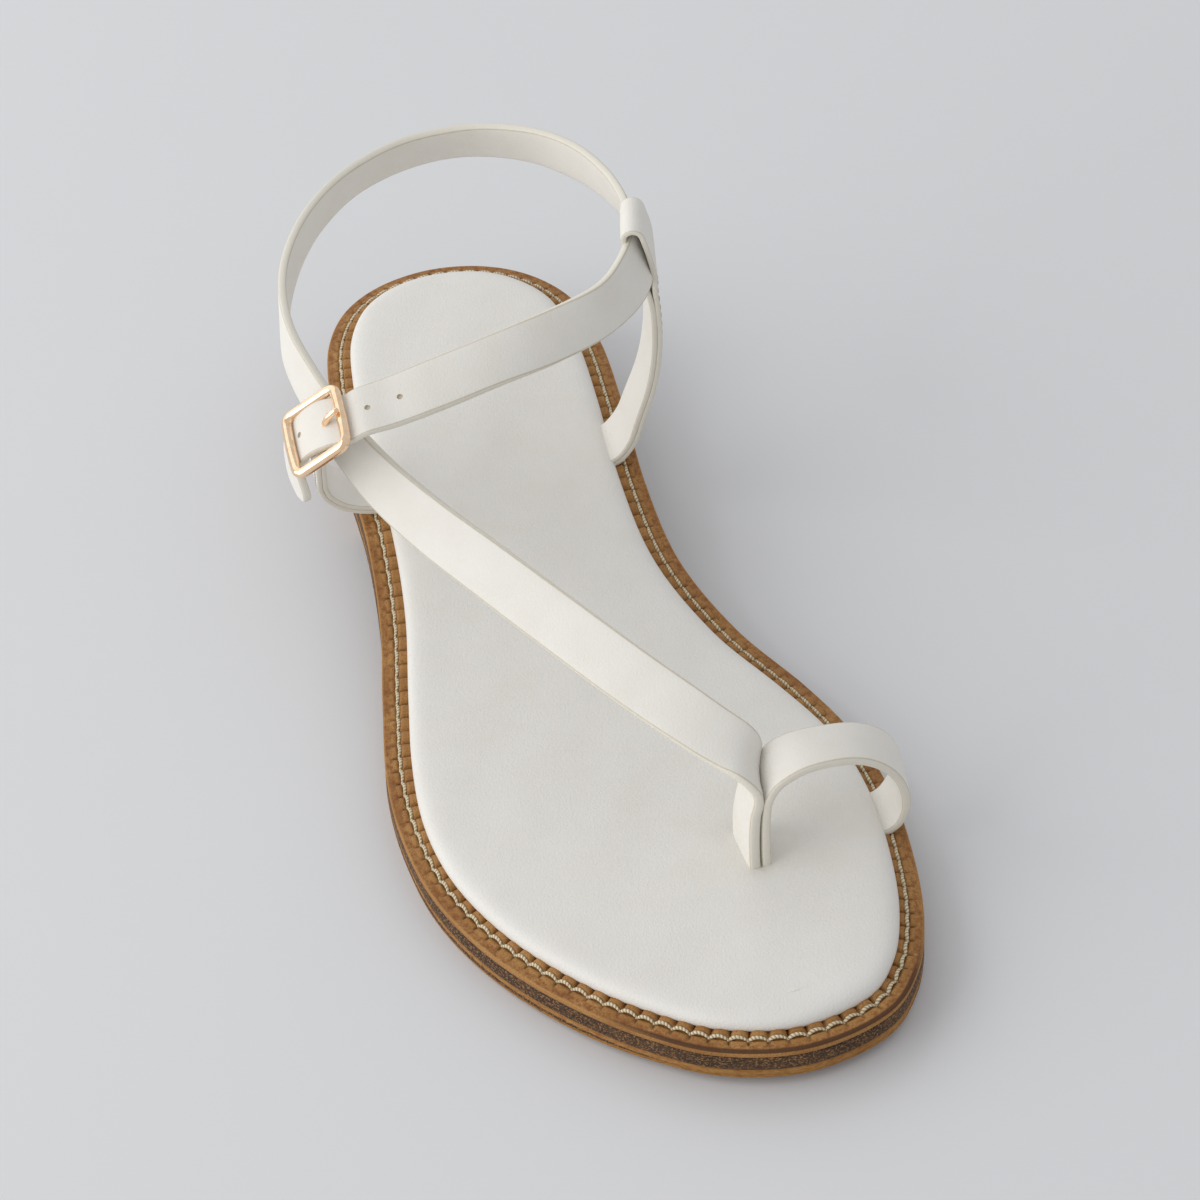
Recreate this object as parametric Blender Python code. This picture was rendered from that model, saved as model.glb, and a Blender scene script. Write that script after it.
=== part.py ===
"""A strappy flat sandal for the right foot, built as its maker puts it together.

A layered sole with a stacked heel carries a stitched welt and a padded insole.
The upper is four straps joined where they cross: a toe ring, one long strap that
runs from the toe post over the instep and round the ankle, and a loop strap on
each side that holds it. A pin buckle closes the long strap on the outer side.

Frame: toe towards -Y, heel towards +Y, inner side of the foot towards +X, floor at Z = 0.
"""
import math

import bmesh
import bpy
import numpy as np
from mathutils import Matrix, Vector

MM = 0.001
CLEARANCE = 0.3

# Sole outline in mm: one row per station along the foot, outer and inner edge of the welt.
STATION, OUTER_EDGE, INNER_EDGE = 0, 1, 2
SOLE_STATIONS = [
    (122.0, -16.0, 8.4),
    (115.0, -25.3, 18.2),
    (103.0, -31.7, 25.3),
    (85.0, -35.0, 27.7),
    (60.0, -36.8, 26.9),
    (35.0, -37.5, 25.2),
    (12.0, -39.2, 26.3),
    (-10.0, -43.6, 32.8),
    (-30.0, -47.7, 41.7),
    (-48.0, -49.1, 47.3),
    (-66.0, -46.8, 49.3),
    (-84.0, -39.5, 47.7),
    (-101.0, -28.2, 44.2),
    (-114.0, -15.9, 38.7),
    (-123.0, -3.4, 30.4),
]
HEEL_TIP = (-4.0, 124.7)
TOE_TIP = (13.6, -127.6)
OUTLINE_STEPS = 40

# Heights of the sole in mm, measured from the floor.
BALL_HEIGHT = 8.0
HEEL_HEIGHT = 20.0
TOE_SPRING = 2.5
TREAD_SPRING = 1.6
BALL_Y = -30.0
HEEL_SEAT_Y = 75.0
SPRING_Y = -66.0
WELT_THICKNESS = 1.6
WELT_EDGE_ROUND = 0.4
FOREFOOT_THICKNESS = BALL_HEIGHT - WELT_THICKNESS - CLEARANCE
WAIST_THICKNESS = 5.0
HEEL_SOLE_THICKNESS = 7.4
LIFT_THICKNESS = 3.6
BREAST_TOP_Y = 52.0
BREAST_BOTTOM_Y = 56.5

# Side of the sole: share of the layer's height from its top, and how far it is set in, in mm.
HEIGHT_SHARE, SET_IN = 0, 1
OUTSOLE_SIDE = [(1.0, 1.3), (0.93, 0.6), (0.70, 0.4), (0.66, 0.9), (0.62, 0.4), (0.14, 0.4), (0.10, 0.8), (0.0, 0.8)]
HEEL_SIDE = [(1.0, 1.5), (0.53, 1.0), (0.50, 1.4), (0.47, 0.9), (0.04, 0.5), (0.0, 0.9)]
LIFT_SIDE = [(1.0, 2.2), (0.85, 1.7), (0.1, 1.5), (0.0, 1.8)]

# Padded insole: height above the welt and how far it is set in from the welt's edge, in mm.
HEIGHT, INSET = 0, 1
INSOLE_SIDE = [
    (CLEARANCE, 6.0),
    (0.9, 5.3),
    (1.9, 5.2),
    (2.8, 5.6),
    (3.4, 6.6),
    (3.7, 8.2),
    (3.8, 11.0),
]

# Straps. Each row is one section: middle of the strap, and the way its width runs.
STRAP_WIDTH = 11.5
STRAP_THICKNESS = 2.0
STRAP_END_THICKNESS = 1.6
LOOP_THICKNESS = 2.8
TUCKED_THICKNESS = 1.6
TUNNEL_THICKNESS = 5.0
BAR_FOLD_THICKNESS = 4.6
STRAP_CORNER = 0.5
STRAP_STEPS = 4
POCKET_DROP = 0.6

X, Y, Z, ACROSS_X, ACROSS_Y, ACROSS_Z, THICKNESS = range(7)
POST_FLOOR = BALL_HEIGHT + 0.5

INSTEP_AND_ANKLE = [
    (15.4, -75.8, POST_FLOOR, 0.0, 1.0, 0.0),
    (15.9, -75.8, 18.0, 0.08, 1.0, 0.0),
    (17.4, -75.6, 27.0, 0.22, 0.96, 0.10),
    (16.8, -74.0, 33.4, 0.34, 0.90, 0.20),
    (11.5, -67.5, 38.0, 0.50, 0.76, 0.34),
    (1.5, -53.3, 41.2, 0.64, 0.55, 0.50),
    (-11.0, -33.0, 44.7, 0.64, 0.42, 0.63),
    (-20.0, -18.6, 47.6, 0.58, 0.34, 0.72),
    (-28.0, -6.0, 50.4, 0.48, 0.24, 0.83),
    (-36.0, 7.0, 53.6, 0.34, 0.10, 0.93),
    (-43.2, 20.0, 57.8, 0.18, 0.0, 0.98),
    (-46.4, 32.0, 62.2, 0.05, -0.10, 1.0),
    (-47.2, 44.0, 66.3, 0.0, -0.10, 1.0),
    (-44.9, 57.0, 68.8, 0.0, -0.05, 1.0),
    (-39.5, 71.5, 69.8, 0.08, -0.10, 1.0),
    (-31.2, 85.0, 69.8, 0.15, -0.20, 1.0),
    (-20.4, 95.5, 69.5, 0.12, -0.28, 1.0),
    (-8.0, 101.2, 69.2, 0.0, -0.30, 1.0),
    (5.0, 101.2, 69.2, 0.0, -0.28, 1.0),
    (17.0, 94.5, 69.7, -0.10, -0.20, 1.0),
    (25.4, 83.0, 70.6, -0.20, -0.10, 1.0),
    (29.8, 69.0, 71.8, -0.25, 0.0, 1.0),
    (31.0, 54.5, 72.8, -0.30, 0.0, 1.0),
    (29.6, 42.0, 73.4, -0.30, 0.05, 1.0),
    (25.2, 32.0, 73.6, -0.20, 0.10, 1.0),
    (17.0, 24.3, 73.9, -0.10, 0.08, 1.0),
    (5.0, 18.6, 73.7, 0.0, 0.10, 1.0),
    (-9.0, 14.6, 72.8, 0.0, 0.10, 1.0),
    (-23.0, 12.0, 71.6, 0.0, 0.15, 0.98),
    (-34.5, 11.2, 69.9, 0.0, 0.42, 0.90),
]

TOE_RING = [
    (17.1, -75.8, POST_FLOOR, 0.0, 1.0, 0.0, STRAP_THICKNESS),
    (17.6, -75.8, 18.0, 0.08, 1.0, 0.0, STRAP_THICKNESS),
    (19.2, -75.7, 26.5, 0.20, 0.97, 0.06, STRAP_THICKNESS),
    (22.0, -75.6, 32.0, 0.22, 0.97, 0.04, STRAP_THICKNESS),
    (26.8, -75.5, 34.5, 0.20, 0.98, -0.08, STRAP_THICKNESS),
    (33.5, -75.2, 34.7, 0.18, 0.98, -0.10, STRAP_THICKNESS),
    (40.2, -74.6, 32.7, 0.18, 0.98, -0.10, STRAP_THICKNESS),
    (45.3, -73.9, 28.6, 0.18, 0.98, -0.06, STRAP_THICKNESS),
    (47.9, -73.3, 23.2, 0.16, 0.98, 0.0, STRAP_THICKNESS),
    (48.0, -72.8, 17.2, 0.10, 1.0, 0.0, STRAP_THICKNESS),
    (46.6, -72.5, 12.4, 0.04, 1.0, 0.0, STRAP_THICKNESS),
    (43.6, -72.4, 9.8, 0.0, 1.0, 0.0, TUCKED_THICKNESS),
    (40.6, -72.4, 9.15, 0.0, 1.0, 0.0, TUCKED_THICKNESS),
    (37.6, -72.4, 9.15, 0.0, 1.0, 0.0, TUCKED_THICKNESS),
]

INNER_LOOP = [
    (14.0, 46.0, 18.85, 0.0, 1.0, 0.13, TUCKED_THICKNESS),
    (17.5, 46.0, 18.85, 0.0, 1.0, 0.13, TUCKED_THICKNESS),
    (21.0, 46.0, 19.4, 0.0, 1.0, 0.13, TUCKED_THICKNESS),
    (25.6, 46.0, 23.4, 0.0, 1.0, 0.12, LOOP_THICKNESS),
    (28.6, 45.8, 30.0, 0.0, 1.0, 0.10, LOOP_THICKNESS),
    (30.4, 45.3, 38.0, 0.0, 1.0, 0.08, LOOP_THICKNESS),
    (31.2, 44.6, 46.0, 0.0, 1.0, 0.08, LOOP_THICKNESS),
    (31.3, 43.8, 54.0, 0.0, 1.0, 0.10, LOOP_THICKNESS),
    (31.1, 43.0, 62.0, 0.0, 1.0, 0.10, LOOP_THICKNESS),
    (30.6, 42.4, 67.0, 0.0, 1.0, 0.10, TUNNEL_THICKNESS),
    (29.6, 41.9, 73.4, 0.0, 1.0, 0.10, TUNNEL_THICKNESS),
    (27.8, 41.4, 79.4, 0.0, 1.0, 0.10, TUNNEL_THICKNESS),
    (27.3, 41.3, 81.0, 0.0, 1.0, 0.10, LOOP_THICKNESS),
]

OUTER_LOOP = [
    (-27.0, 47.0, 19.0, 0.0, 1.0, 0.13, TUCKED_THICKNESS),
    (-31.0, 47.0, 19.0, 0.0, 1.0, 0.13, TUCKED_THICKNESS),
    (-35.0, 47.0, 19.3, 0.0, 1.0, 0.13, TUCKED_THICKNESS),
    (-40.0, 46.6, 21.5, 0.0, 1.0, 0.13, LOOP_THICKNESS),
    (-43.3, 45.4, 26.2, 0.0, 1.0, 0.20, LOOP_THICKNESS),
    (-44.4, 43.0, 32.0, 0.0, 0.96, 0.30, LOOP_THICKNESS),
    (-44.6, 38.8, 38.0, 0.0, 0.90, 0.45, LOOP_THICKNESS),
    (-44.6, 32.6, 44.6, 0.0, 0.82, 0.58, LOOP_THICKNESS),
    (-44.2, 25.6, 50.8, 0.0, 0.80, 0.60, LOOP_THICKNESS),
    (-43.6, 20.0, 56.0, 0.0, 0.82, 0.57, TUNNEL_THICKNESS),
    (-43.7, 15.6, 60.6, 0.0, 0.93, 0.36, TUNNEL_THICKNESS),
    (-45.9, 13.4, 65.2, 0.0, 0.97, 0.23, BAR_FOLD_THICKNESS),
]

# Pin buckle: a rounded square of round wire with a centre bar, laid on the outer side.
BUCKLE_CENTRE = (-46.7, 12.9, 66.0)
BUCKLE_ALONG = (-0.79, 0.12, -0.60)
BUCKLE_ACROSS = (-0.02, 0.97, 0.23)
BUCKLE_LENGTH = 14.6
BUCKLE_WIDTH = 16.4
BUCKLE_CORNER = 3.4
BUCKLE_WIRE = 1.9
BUCKLE_BAR = 1.5
BAR_DROP = 1.0
BUCKLE_SIDES = 8
CORNER_STEPS = 5
PRONG_WIRE = 1.3

# The long strap threads the buckle: distance along it, and height over its plane.
BAR_REACH = (BUCKLE_LENGTH - BUCKLE_WIRE) / 2
STRAP_DIP = (BUCKLE_WIRE + STRAP_END_THICKNESS) / 2 + CLEARANCE
STRAP_CREST = (BUCKLE_BAR + STRAP_END_THICKNESS) / 2 + CLEARANCE - BAR_DROP
ALONG, LIFT = 0, 1
THREADING = [
    (-BAR_REACH - 1.5, -STRAP_DIP - 0.2),
    (-BAR_REACH + 1.0, -STRAP_DIP - 0.1),
    (-2.0, STRAP_CREST - 0.4),
    (0.0, STRAP_CREST),
    (2.0, STRAP_CREST - 0.4),
    (BAR_REACH - 1.0, -STRAP_DIP - 0.1),
    (BAR_REACH + 1.5, -STRAP_DIP - 0.2),
]
STRAP_TIP = [
    (-52.0, 13.8, 57.2, 0.0, 1.0, 0.16),
    (-52.4, 13.4, 53.0, 0.0, 1.0, 0.12),
]
PRONG_ROUTE = [
    (-1.9, -BAR_DROP - 0.6),
    (-2.0, 0.0),
    (-2.6, 1.4),
    (-4.3, 1.9),
    (-BAR_REACH, (BUCKLE_WIRE + PRONG_WIRE) / 2 + CLEARANCE),
    (-BAR_REACH - 1.4, 1.6),
]

# Colour, roughness and metallic value of each material.
COLOUR, ROUGHNESS, METALLIC = 0, 1, 2
FINISHES = {
    "white_leather": ((0.80, 0.78, 0.73, 1.0), 0.5, 0.0),
    "insole_leather": ((0.82, 0.80, 0.77, 1.0), 0.55, 0.0),
    "tan_welt": ((0.36, 0.17, 0.06, 1.0), 0.6, 0.0),
    "brown_sole": ((0.10, 0.06, 0.04, 1.0), 0.6, 0.0),
    "brown_heel": ((0.11, 0.06, 0.04, 1.0), 0.6, 0.0),
    "ochre_rubber": ((0.45, 0.28, 0.09, 1.0), 0.7, 0.0),
    "rose_gold": ((0.90, 0.58, 0.36, 1.0), 0.18, 1.0),
    "rose_gold_prong": ((0.90, 0.58, 0.36, 1.0), 0.18, 1.0),
}


def clear_scene():
    for item in list(bpy.data.objects):
        bpy.data.objects.remove(item, do_unlink=True)


def finish(name):
    colour, roughness, metallic = FINISHES[name]
    material = bpy.data.materials.new(name)
    material.use_nodes = True
    shader = material.node_tree.nodes["Principled BSDF"]
    shader.inputs["Base Color"].default_value = colour
    shader.inputs["Roughness"].default_value = roughness
    shader.inputs["Metallic"].default_value = metallic
    material.diffuse_color = colour
    return material


def smooth_step(value):
    share = min(max(value, 0.0), 1.0)
    return share * share * (3.0 - 2.0 * share)


def through(rows, steps):
    """A smooth curve through the rows, with the given steps between neighbours."""
    rows = np.array(rows, dtype=float)
    first = 2.0 * rows[0] - rows[1]
    last = 2.0 * rows[-1] - rows[-2]
    knots = np.vstack([first, rows, last])
    gaps = np.sqrt(np.linalg.norm(np.diff(knots[:, :3], axis=0), axis=1))
    at = np.concatenate([[0.0], np.cumsum(gaps)])
    points = []
    for i in range(1, len(knots) - 2):
        for t in np.linspace(at[i], at[i + 1], steps, endpoint=False):
            points.append(curve_point(knots, at, i, t))
    points.append(rows[-1])
    return np.array(points)


def curve_point(knots, at, i, t):
    """One point of a centripetal Catmull-Rom curve between knots i and i + 1."""
    first = [blend(knots[k], knots[k + 1], at[k], at[k + 1], t) for k in range(i - 1, i + 2)]
    second = [blend(first[k], first[k + 1], at[i - 1 + k], at[i + 1 + k], t) for k in range(2)]
    return blend(second[0], second[1], at[i], at[i + 1], t)


def blend(a, b, start, end, t):
    return ((end - t) * a + (t - start) * b) / (end - start)


def sole_outline():
    """Outline of the welt: paired points on the outer and inner edge, heel to toe."""
    outer = [(row[OUTER_EDGE], row[STATION], 0.0) for row in SOLE_STATIONS]
    inner = [(row[INNER_EDGE], row[STATION], 0.0) for row in SOLE_STATIONS]
    heel = (*HEEL_TIP, 0.0)
    toe = (*TOE_TIP, 0.0)
    lap = [inner[1], inner[0], heel] + outer + [toe] + inner[::-1] + [heel, outer[0], outer[1]]
    dense = through(lap, 40)
    start = 2 * 40
    half = (len(outer) + 1) * 40
    outer_side = dense[start:start + half + 1]
    inner_side = dense[start + half:start + 2 * half + 1][::-1]
    middle = (HEEL_TIP[1] + TOE_TIP[1]) / 2
    reach = (HEEL_TIP[1] - TOE_TIP[1]) / 2
    turns = [math.pi * k / OUTLINE_STEPS for k in range(OUTLINE_STEPS + 1)]
    stations = [middle + reach * math.cos(turn) for turn in turns]
    loop = [at_station(outer_side, y) for y in stations]
    loop += [at_station(inner_side, y) for y in stations[-2:0:-1]]
    return np.array(loop)


def at_station(side, y):
    return (float(np.interp(-y, -side[:, 1], side[:, 0])), y)


def inset_outline(loop, distance):
    """The outline moved inwards by a distance."""
    ahead = np.roll(loop, -1, axis=0)
    behind = np.roll(loop, 1, axis=0)
    along = ahead - behind
    along /= np.linalg.norm(along, axis=1)[:, None]
    inward = np.stack([-along[:, 1], along[:, 0]], axis=1)
    return loop + inward * distance


def arch_rise(y):
    return (HEEL_HEIGHT - BALL_HEIGHT) * smooth_step((y - BALL_Y) / (HEEL_SEAT_Y - BALL_Y))


def toe_rise(y, spring):
    share = max(SPRING_Y - y, 0.0) / (SPRING_Y - TOE_TIP[1])
    return spring * share * share


def welt_top(y):
    """Height of the welt's upper face: toe spring, flat ball, arch and heel seat."""
    return BALL_HEIGHT + arch_rise(y) + toe_rise(y, TOE_SPRING)


def outsole_top(y):
    return welt_top(y) - WELT_THICKNESS - CLEARANCE


def outsole_bottom(y):
    """Lower face of the outsole: thinner at the waist, thicker again on the heel."""
    waist = smooth_step((y - BALL_Y) / 40.0)
    heel = smooth_step((y - 30.0) / 40.0)
    thinner = (FOREFOOT_THICKNESS - WAIST_THICKNESS) * waist
    thicker = (HEEL_SOLE_THICKNESS - WAIST_THICKNESS) * heel
    return arch_rise(y) + thinner - thicker + toe_rise(y, TREAD_SPRING)


def new_object(name, bm, material_name):
    bmesh.ops.recalc_face_normals(bm, faces=bm.faces)
    mesh = bpy.data.meshes.new(name)
    bm.to_mesh(mesh)
    bm.free()
    mesh.shade_smooth()
    mesh.set_sharp_from_angle(angle=math.radians(35.0))
    mesh.materials.append(finish(material_name))
    item = bpy.data.objects.new(name, mesh)
    bpy.context.scene.collection.objects.link(item)
    return item


def make_cutter(item):
    item.hide_render = True
    item.display_type = "WIRE"
    return item


def boolean(item, other, operation):
    modifier = item.modifiers.new(operation.title(), "BOOLEAN")
    modifier.operation = operation
    modifier.solver = "EXACT"
    modifier.object = make_cutter(other)


def loft(rings):
    """A closed body through rings of paired outline points, capped below and above."""
    bm = bmesh.new()
    layers = [[bm.verts.new(Vector(point) * MM) for point in ring] for ring in rings]
    count = len(layers[0])
    for below, above in zip(layers, layers[1:]):
        for i in range(count):
            j = (i + 1) % count
            bm.faces.new((below[i], below[j], above[j], above[i]))
    for layer in (layers[0], layers[-1]):
        cap(bm, layer)
    bmesh.ops.triangulate(bm, faces=bm.faces)
    return bm


def cap(bm, layer):
    """Strips across the foot from each outer point to its partner on the inner edge."""
    count = len(layer)
    half = count // 2
    for i in range(half):
        corners = [layer[i], layer[i + 1], layer[(count - i - 1) % count], layer[(count - i) % count]]
        unique = list(dict.fromkeys(corners))
        bm.faces.new(unique)


def layer_rings(loop, side, top, bottom):
    """Rings of a sole layer between two height functions, with the side's grooves."""
    rings = []
    for row in side:
        edge = inset_outline(loop, row[SET_IN])
        share = row[HEIGHT_SHARE]
        ring = [(x, y, top(y) + (bottom(y) - top(y)) * share) for x, y in edge]
        rings.append(ring)
    return rings


def make_insole(loop):
    rings = []
    for row in INSOLE_SIDE:
        edge = inset_outline(loop, row[INSET])
        rings.append([(x, y, welt_top(y) + row[HEIGHT]) for x, y in edge])
    insole = new_object("insole", loft(rings), "insole_leather")
    slot = make_post_slot()
    boolean(insole, slot, "DIFFERENCE")
    pockets = {"ring_pocket": TOE_RING[:-5:-1], "inner_pocket": INNER_LOOP[:4], "outer_pocket": OUTER_LOOP[:4]}
    for name, rows in pockets.items():
        pocket = new_object(name, sweep(tucked(rows), grow=2 * CLEARANCE), "insole_leather")
        boolean(insole, pocket, "DIFFERENCE")
    return insole


def tucked(rows):
    """Rows of the pocket for a strap's tucked end: longer inwards, and open below."""
    inner, outer = np.array(rows[0]), np.array(rows[1])
    ahead = (inner - outer)[:3]
    inner[:3] += ahead * CLEARANCE / np.linalg.norm(ahead)
    pocket = np.vstack([inner, np.array(rows)])
    pocket[:, Z] -= POCKET_DROP
    pocket[:, THICKNESS] += 2 * POCKET_DROP
    return pocket


def make_post_slot():
    """The slot in the insole that the two straps of the toe post go down."""
    left = INSTEP_AND_ANKLE[0][X] - STRAP_THICKNESS / 2 - CLEARANCE
    right = TOE_RING[0][X] + STRAP_THICKNESS / 2 + CLEARANCE
    middle = INSTEP_AND_ANKLE[0][Y]
    reach = STRAP_WIDTH / 2 + CLEARANCE
    bm = bmesh.new()
    bmesh.ops.create_cube(bm, size=1.0)
    size = Vector((right - left + 0.5, 2 * reach, 20.0)) * MM
    bmesh.ops.scale(bm, vec=size, verts=bm.verts)
    place = Vector(((left + right) / 2 + 0.15, middle, BALL_HEIGHT)) * MM
    bmesh.ops.translate(bm, vec=place, verts=bm.verts)
    return new_object("post_slot", bm, "insole_leather")


def make_welt(loop):
    def bottom(y):
        return welt_top(y) - WELT_THICKNESS
    share = WELT_EDGE_ROUND / WELT_THICKNESS
    side = [(1.0, WELT_EDGE_ROUND), (1.0 - share, 0.0), (share, 0.0), (0.0, WELT_EDGE_ROUND)]
    return new_object("welt", loft(layer_rings(loop, side, welt_top, bottom)), "tan_welt")


def make_outsole(loop):
    return new_object("outsole", loft(layer_rings(loop, OUTSOLE_SIDE, outsole_top, outsole_bottom)), "brown_sole")


def make_heel(loop):
    """The stacked heel and its top lift, cut off by the slanted breast."""
    def stack_top(y):
        return outsole_bottom(max(y, BREAST_TOP_Y - 12.0)) - CLEARANCE

    def stack_bottom(y):
        return LIFT_THICKNESS + CLEARANCE

    def lift_top(y):
        return LIFT_THICKNESS

    def floor(y):
        return 0.0

    stack = new_object("heel_stack", loft(layer_rings(loop, HEEL_SIDE, stack_top, stack_bottom)), "brown_heel")
    lift = new_object("heel_lift", loft(layer_rings(loop, LIFT_SIDE, lift_top, floor)), "ochre_rubber")
    for item in (stack, lift):
        boolean(item, make_breast_cutter(item.name), "DIFFERENCE")
    return stack, lift


def make_breast_cutter(name):
    """Everything in front of the heel breast, which slants back towards the floor."""
    slant = (BREAST_BOTTOM_Y - BREAST_TOP_Y) / HEEL_HEIGHT
    far_y = TOE_TIP[1] * 1.5
    side_x = 90.0
    low, high = -10.0, HEEL_HEIGHT + 10.0
    section = [(far_y, low), (BREAST_BOTTOM_Y - slant * low, low), (BREAST_BOTTOM_Y - slant * high, high), (far_y, high)]
    bm = bmesh.new()
    sides = []
    for x in (-side_x, side_x):
        sides.append([bm.verts.new(Vector((x, y, z)) * MM) for y, z in section])
    for i in range(4):
        j = (i + 1) % 4
        bm.faces.new((sides[0][i], sides[0][j], sides[1][j], sides[1][i]))
    bm.faces.new(sides[0])
    bm.faces.new(sides[1])
    return new_object("breast_cut_" + name, bm, "brown_heel")


def with_thickness(rows, thickness):
    return [(*row, thickness) for row in rows]


def sweep(rows, grow=0.0):
    """A strap through its rows: a flat section with its corners taken off."""
    points = through(rows, STRAP_STEPS)
    centre = points[:, :3]
    along = np.gradient(centre, axis=0)
    along /= np.linalg.norm(along, axis=1)[:, None]
    across = points[:, ACROSS_X:ACROSS_Z + 1]
    across = across - (across * along).sum(axis=1)[:, None] * along
    across /= np.linalg.norm(across, axis=1)[:, None]
    outward = np.cross(across, along)
    rings = []
    for p, a, n, thickness in zip(centre, across, outward, points[:, THICKNESS]):
        wide = (STRAP_WIDTH + grow) / 2
        thick = (thickness + grow) / 2
        flat = wide - STRAP_CORNER
        edge = thick - STRAP_CORNER
        section = [(wide, -edge), (wide, edge), (flat, thick), (-flat, thick)]
        section += [(-wide, edge), (-wide, -edge), (-flat, -thick), (flat, -thick)]
        rings.append([p + a * u + n * v for u, v in section])
    bm = bmesh.new()
    layers = [[bm.verts.new(Vector(point) * MM) for point in ring] for ring in rings]
    for below, above in zip(layers, layers[1:]):
        for i in range(len(below)):
            j = (i + 1) % len(below)
            bm.faces.new((below[i], below[j], above[j], above[i]))
    bm.faces.new(layers[0])
    bm.faces.new(layers[-1])
    bmesh.ops.triangulate(bm, faces=bm.faces)
    return bm


def buckle_axes():
    """Directions of the buckle: along the strap, across it towards the toe, and outwards."""
    along = Vector(BUCKLE_ALONG).normalized()
    across = Vector(BUCKLE_ACROSS)
    across = (across - across.dot(along) * along).normalized()
    outward = along.cross(-across)
    return along, -across, outward


def buckle_matrix():
    along, toeward, outward = buckle_axes()
    turn = Matrix((along, toeward, outward)).transposed()
    return Matrix.Translation(Vector(BUCKLE_CENTRE) * MM) @ turn.to_4x4()


def long_strap_rows():
    """The instep and ankle rows, then the threading of the buckle and the hanging tip."""
    along, toeward, outward = buckle_axes()
    rows = with_thickness(INSTEP_AND_ANKLE, STRAP_THICKNESS)
    for row in THREADING:
        place = Vector(BUCKLE_CENTRE) + along * row[ALONG] + outward * row[LIFT]
        rows.append((*place, *(-toeward), STRAP_END_THICKNESS))
    return rows + with_thickness(STRAP_TIP, STRAP_END_THICKNESS)


def make_upper():
    """All straps as one body, joined at the toe post and in the two loops."""
    upper = new_object("upper", sweep(long_strap_rows()), "white_leather")
    joined = {"toe_ring_strap": TOE_RING, "inner_loop_strap": INNER_LOOP, "outer_loop_strap": OUTER_LOOP}
    for name, rows in joined.items():
        boolean(upper, new_object(name, sweep(rows), "white_leather"), "UNION")
    deeper = [(PRONG_ROUTE[0][ALONG], PRONG_ROUTE[0][LIFT] - 1.0)]
    hole = tube("prong_hole", deeper + PRONG_ROUTE[:4], PRONG_WIRE + 2 * CLEARANCE, "white_leather")
    boolean(upper, hole, "DIFFERENCE")
    groove = make_bar("bar_groove", BUCKLE_BAR + 2 * CLEARANCE, "white_leather")
    boolean(upper, groove, "DIFFERENCE")
    return upper


def tube(name, route, diameter, material_name):
    """A round wire along a route in the buckle's own plane, placed on the buckle."""
    points = through([(x, 0.0, z) for x, z in route], 3)
    bm = bmesh.new()
    layers = []
    along = np.gradient(points, axis=0)
    along /= np.linalg.norm(along, axis=1)[:, None]
    side = np.array((0.0, 1.0, 0.0))
    for p, a in zip(points, along):
        up = np.cross(a, side)
        ring = []
        for k in range(BUCKLE_SIDES):
            turn = 2.0 * math.pi * k / BUCKLE_SIDES
            ring.append(bm.verts.new(Vector(p + (side * math.cos(turn) + up * math.sin(turn)) * diameter / 2) * MM))
        layers.append(ring)
    for below, above in zip(layers, layers[1:]):
        for i in range(BUCKLE_SIDES):
            j = (i + 1) % BUCKLE_SIDES
            bm.faces.new((below[i], below[j], above[j], above[i]))
    bm.faces.new(layers[0])
    bm.faces.new(layers[-1])
    item = new_object(name, bm, material_name)
    item.matrix_world = buckle_matrix()
    return item


def buckle_loop():
    """Middle line of the frame's wire: a rounded square."""
    half_x = (BUCKLE_LENGTH - BUCKLE_WIRE) / 2
    half_y = (BUCKLE_WIDTH - BUCKLE_WIRE) / 2
    radius = BUCKLE_CORNER - BUCKLE_WIRE / 2
    centres = [(1, 1), (-1, 1), (-1, -1), (1, -1)]
    points = []
    for quarter, (sx, sy) in enumerate(centres):
        for k in range(CORNER_STEPS + 1):
            turn = math.pi / 2 * (quarter + k / CORNER_STEPS)
            x = sx * (half_x - radius) + radius * math.cos(turn)
            y = sy * (half_y - radius) + radius * math.sin(turn)
            points.append((x, y))
    return points


def make_buckle():
    frame = bpy.data.curves.new("buckle_frame_wire", "CURVE")
    frame.dimensions = "3D"
    frame.bevel_depth = BUCKLE_WIRE / 2 * MM
    frame.bevel_resolution = 2
    points = buckle_loop()
    spline = frame.splines.new("POLY")
    spline.points.add(len(points) - 1)
    for target, (x, y) in zip(spline.points, points):
        target.co = (x * MM, y * MM, 0.0, 1.0)
    spline.use_cyclic_u = True
    wire = bpy.data.objects.new("buckle_wire", frame)
    bpy.context.scene.collection.objects.link(wire)
    mesh = bpy.data.meshes.new_from_object(wire.evaluated_get(bpy.context.evaluated_depsgraph_get()))
    bpy.data.objects.remove(wire, do_unlink=True)
    bm = bmesh.new()
    bm.from_mesh(mesh)
    buckle = new_object("buckle_frame", bm, "rose_gold")
    buckle.matrix_world = buckle_matrix()
    boolean(buckle, make_bar("buckle_bar", BUCKLE_BAR, "rose_gold"), "UNION")
    return buckle


def make_bar(name, diameter, material_name):
    """A round bar across the middle of the buckle."""
    bm = bmesh.new()
    length = (BUCKLE_WIDTH - BUCKLE_WIRE) * MM
    radius = diameter / 2 * MM
    bmesh.ops.create_cone(
        bm, cap_ends=True, segments=BUCKLE_SIDES, radius1=radius, radius2=radius, depth=length
    )
    bmesh.ops.rotate(bm, matrix=Matrix.Rotation(math.pi / 2, 3, "X"), verts=bm.verts)
    bmesh.ops.translate(bm, vec=Vector((0.0, 0.0, -BAR_DROP)) * MM, verts=bm.verts)
    bar = new_object(name, bm, material_name)
    bar.matrix_world = buckle_matrix()
    return bar


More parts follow.
